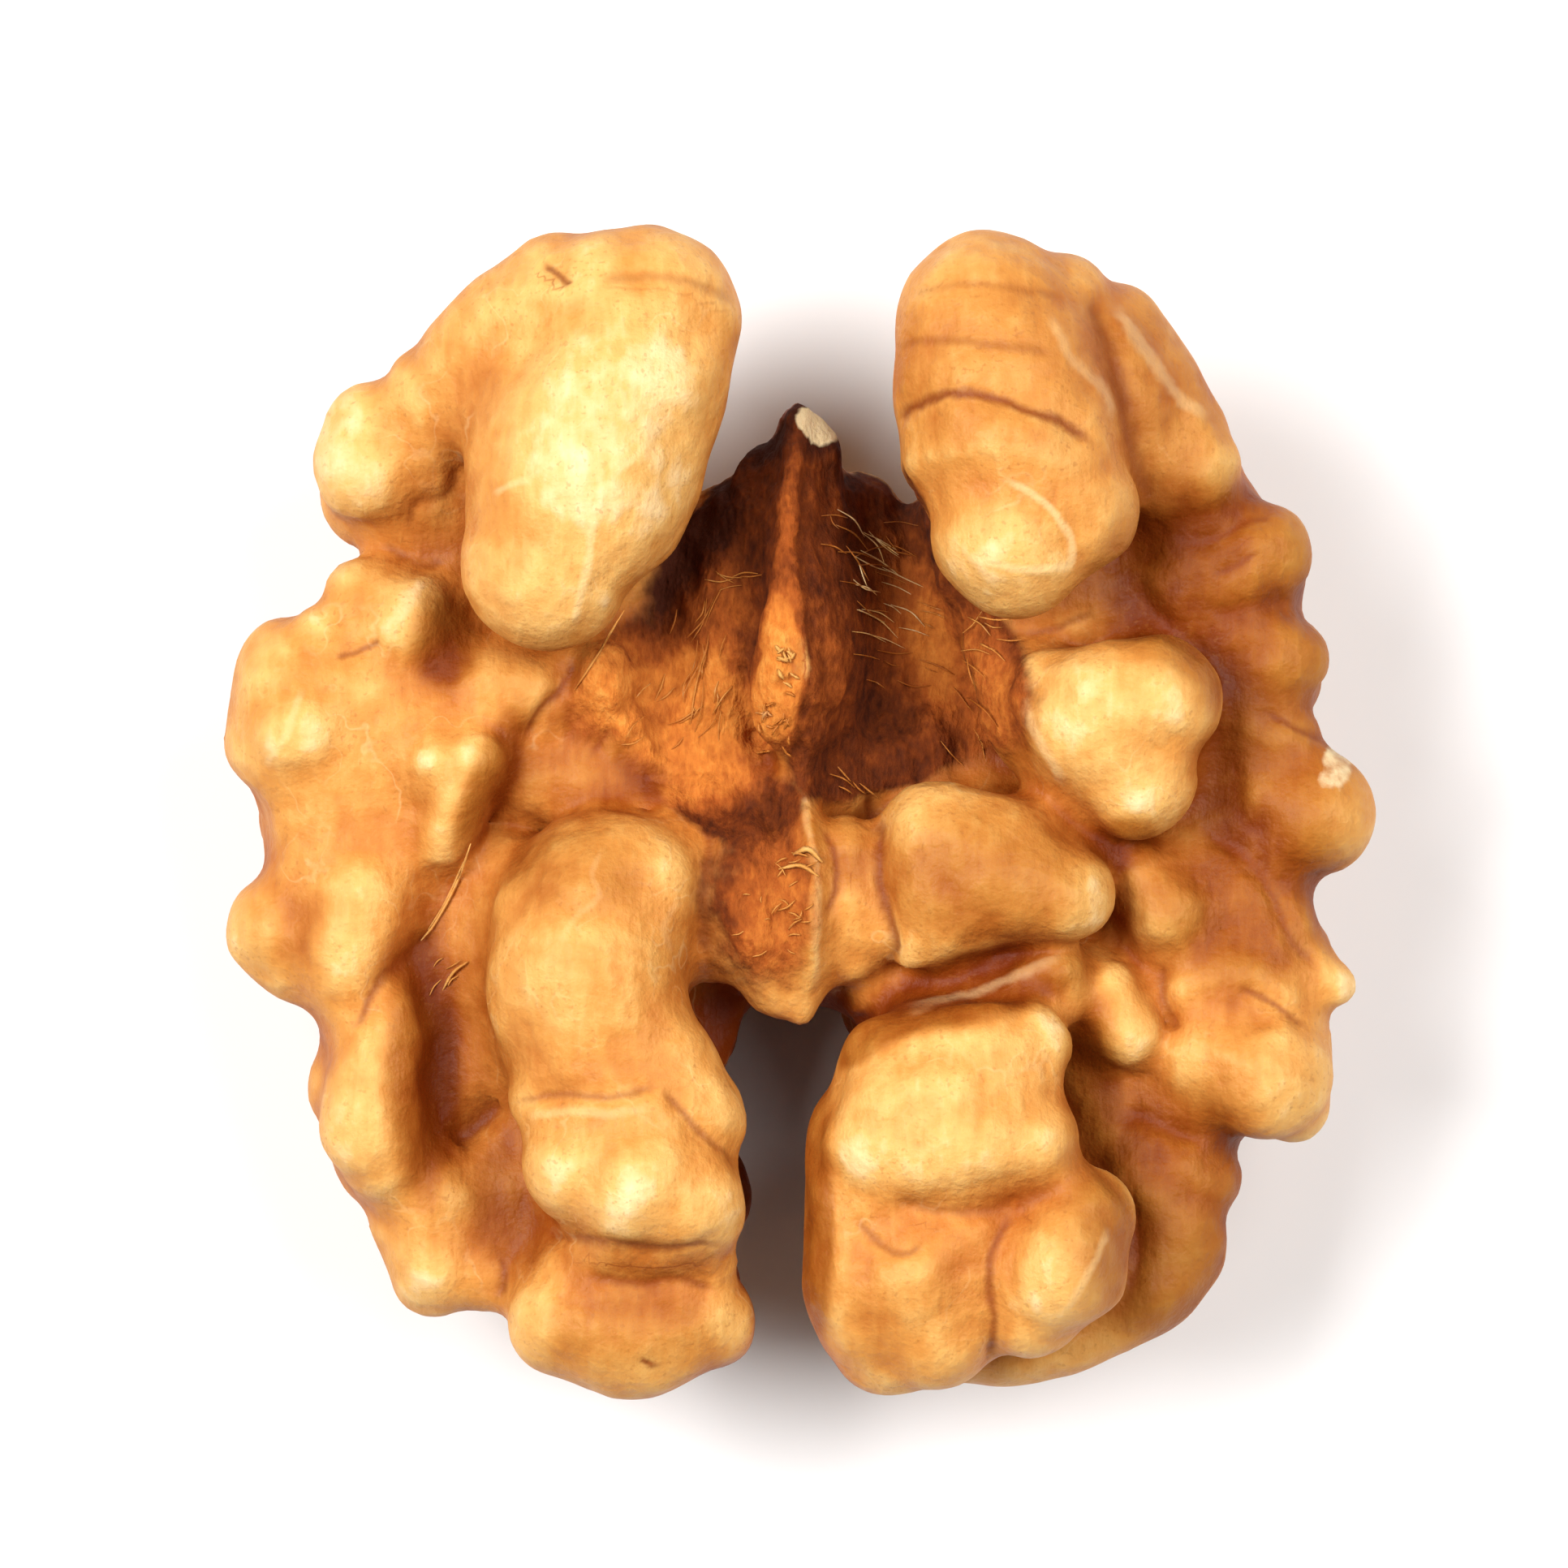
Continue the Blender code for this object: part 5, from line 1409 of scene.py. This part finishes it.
        # the skin's colour, then the network, dots, veins and creases on it; the tone is partly painted: shade
        # in hollows, clefts, on walls and under the shade patches, highlight on crests
        weigh = self.tone_of
        tone = total(maths("MULTIPLY_ADD", hollow, weigh.hollow, self.middle_tone), times(tan_and_shading_value, weigh.tan),
                     times(crest, weigh.crest), swing(blotch, weigh.blotch), swing(mottle, weigh.mottle),
                     swing(streak, weigh.streak))
        colour = blend(ranged(tan_and_shading_value, 0.0, 1.0, 0.0, self.tan_and_shading_share), ramp(tone, self.tones), self.tan,
                       "MULTIPLY")
        dots = ranged(noise(self.speckle_mm, 1.0, place), 0.6, 0.72, 0.0, self.speckle_share)
        colour = blend(times(dots, ranged(blotch, 0.4, 0.6, 0.3, 1.0)), colour, self.speckle)
        thread = maths("ABSOLUTE", maths("SUBTRACT", noise(self.network_mm, 2.0, place), 0.5))
        network = times(ranged(thread, 0.0, 0.018, 1.0, 0.0),
                        ranged(blotch, 0.42, 0.66, 0.0, self.network_share))
        network = times(network, ranged(tan_and_shading_value, -0.1, 0.5, 1.0, 0.0))
        gap = maths("ABSOLUTE", total(layer(Layer.VEIN_OFFSET), swing(wrinkle, 1.0)))
        share = times(layer(Layer.VEIN_STRENGTH), ranged(gap, 0.1, 0.9, self.vein_share, 0.0))
        colour = blend(maths("MAXIMUM", share, network), colour, self.vein)
        gap = maths("ABSOLUTE", total(layer(Layer.CREASE_OFFSET), swing(wrinkle, 0.8)))
        share = times(layer(Layer.CREASE_STRENGTH), ranged(gap, 0.0, 0.85, self.line_share, 0.0))
        colour = blend(share, colour, self.line)

        # the membrane over the skin, and the broken flesh over both; the membrane is partly painted lighter on
        # its lit flank and darker in its hollows as painted shade
        weigh = self.septum_tone_of
        tone = total(maths("MULTIPLY_ADD", fibre, weigh.fibre, -0.06), times(hollow, weigh.hollow),
                     times(tan_and_shading_value, weigh.tan), swing(mottle, weigh.mottle))
        papery = ranged(total(layer(Layer.MEMBRANE), swing(wrinkle, 0.6)), 0.1, 0.8, 0.0, 1.0)
        colour = blend(papery, colour, ramp(tone, self.septum))
        broken = ranged(total(layer(Layer.FLESH), swing(wrinkle, 1.0)), 0.3, 0.75, 0.0, 1.0)
        colour = blend(broken, colour, self.flesh)

        rough = total(maths("MULTIPLY_ADD", wrinkle, 0.2, self.roughness - 0.1), times(papery, self.matt))
        weigh = self.relief_of
        height = total(times(mottle, weigh.mottle), times(grain, weigh.grain), times(streak, weigh.streak),
                       times(network, weigh.network), times(times(fibre, papery), weigh.fibre))
        bump = add_node(tree, "ShaderNodeBump", {"Height": height, "Distance": MM, "Strength": 0.8})
        shader = add_node(tree, "ShaderNodeBsdfPrincipled", {
            "Base Color": colour, "Roughness": rough, "Normal": bump.outputs[0],
            "Specular IOR Level": self.gloss, "Subsurface Weight": self.subsurface,
            "Subsurface Radius": (1.0, 0.45, 0.2), "Subsurface Scale": 0.0012, "IOR": 1.46})
        add_node(tree, "ShaderNodeOutputMaterial", {0: shader.outputs[0]})
        return made


@dataclass
class Studio:
    """Plain pale floor, soft light from the left and some from the right, and a camera above.

    Attributes:
        view_width: Width of the ground that the picture covers, in metres.
        view_centre: Middle of the picture in the table's millimetres.
        view_height: Height at which the picture has that width, in metres.
        lens: Focal length in millimetres.
        sensor: Width of the sensor in millimetres.
        clip: Nearest and farthest distance that the camera sees, in metres.
        floor_half: Half width of the floor in metres.
        floor_colour: Its sRGB colour.
        floor_roughness: How matt it is.
        sky_strength: Brightness of the sky overhead.
        sky_fade: Sine of the height where the sky starts and where it is brightest.
        lamps: Name, place, size in metres and power in watts of each lamp.
    """

    view_width: float = 0.0439
    view_centre: tuple[float, float] = (-0.36, 0.77)
    view_height: float = 0.008
    lens: float = 600.0
    sensor: float = 36.0
    clip: tuple[float, float] = (0.01, 10.0)
    floor_half: float = 0.6
    floor_colour: str = "#E2E0DF"
    floor_roughness: float = 0.9
    sky_strength: float = 0.12
    sky_fade: tuple[float, float] = (0.05, 0.6)
    lamps: tuple[tuple[str, tuple[float, float, float], float, float], ...] = (
        ("key_lamp", (-0.28, 0.08, 0.43), 0.3, 4.2), ("fill_lamp", (0.27, 0.08, 0.43), 0.34, 3.0))

    def floor(self) -> bpy.types.Object:
        """A flat square under the kernel, matt and nearly white."""
        half = self.floor_half
        corners = [(-half, -half, 0.0), (half, -half, 0.0), (half, half, 0.0), (-half, half, 0.0)]
        mesh = bpy.data.meshes.new("studio_floor")
        mesh.from_pydata(corners, [], [(0, 1, 2, 3)])
        made = bpy.data.materials.new("matt_white_board")
        made.use_nodes = True
        shader = made.node_tree.nodes["Principled BSDF"]
        shader.inputs["Base Color"].default_value = linear(self.floor_colour)
        shader.inputs["Roughness"].default_value = self.floor_roughness
        mesh.materials.append(made)
        obj = bpy.data.objects.new("studio_floor", mesh)
        bpy.context.scene.collection.objects.link(obj)
        return obj

    def light(self) -> None:
        """A white sky that fades to nothing at the horizon, and two soft square lamps."""
        world = bpy.data.worlds.new("studio_sky")
        world.use_nodes = True
        tree = world.node_tree
        sky = tree.nodes["Background"]
        sky.inputs["Color"].default_value = (1.0, 1.0, 1.0, 1.0)
        way = add_node(tree, "ShaderNodeTexCoord").outputs["Generated"]
        up = add_node(tree, "ShaderNodeSeparateXYZ", {0: way}).outputs["Z"]
        fade = add_node(tree, "ShaderNodeMapRange", {
            0: up, 1: self.sky_fade[0], 2: self.sky_fade[1], 3: 0.0, 4: self.sky_strength})
        tree.links.new(fade.outputs[0], sky.inputs["Strength"])
        bpy.context.scene.world = world
        for name, place, size, power in self.lamps:
            lamp = bpy.data.lights.new(name, "AREA")
            lamp.size = size
            lamp.energy = power
            obj = bpy.data.objects.new(name, lamp)
            obj.location = place
            obj.rotation_euler = Vector(place).to_track_quat("Z", "Y").to_euler()
            bpy.context.scene.collection.objects.link(obj)

    def camera(self, placement: Placement) -> None:
        """A long lens above the picture's middle, so that the kernel is seen from straight above.

        Args:
            placement: The way from the table to the frame.
        """
        lens = bpy.data.cameras.new("camera")
        lens.lens = self.lens
        lens.sensor_width = self.sensor
        lens.clip_start, lens.clip_end = self.clip
        obj = bpy.data.objects.new("camera", lens)
        x, y, _ = placement.place(np.array([[*self.view_centre, 0.0]]))[0] * MM
        obj.location = (x, y, self.view_height + self.view_width * self.lens / self.sensor)
        bpy.context.scene.collection.objects.link(obj)
        bpy.context.scene.camera = obj


def ride(piece: bpy.types.Object, material: bpy.types.Material) -> None:
    """Dresses a piece and hangs it on the kernel's one body."""
    piece.data.materials.clear()
    piece.data.materials.append(material)
    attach(piece, BODY)
    log.info("%s: %d faces", piece.name, len(piece.data.polygons))


def main() -> None:
    """Builds the kernel, its loose details and the studio, in that order."""
    logging.basicConfig(level=logging.INFO, format="%(name)s: %(message)s")
    bpy.context.scene.view_settings.view_transform = "Standard"
    form = KernelForm()
    skin, points, placement = form.build()
    coat = SeedCoat().material()
    ride(skin, coat)
    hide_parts(NODE)
    ride(LooseFibres().build(points, placement), coat)

    studio = Studio()
    studio.floor()
    studio.light()
    studio.camera(placement)


if __name__ == "__main__":
    main()
    bpy.context.view_layer.update()
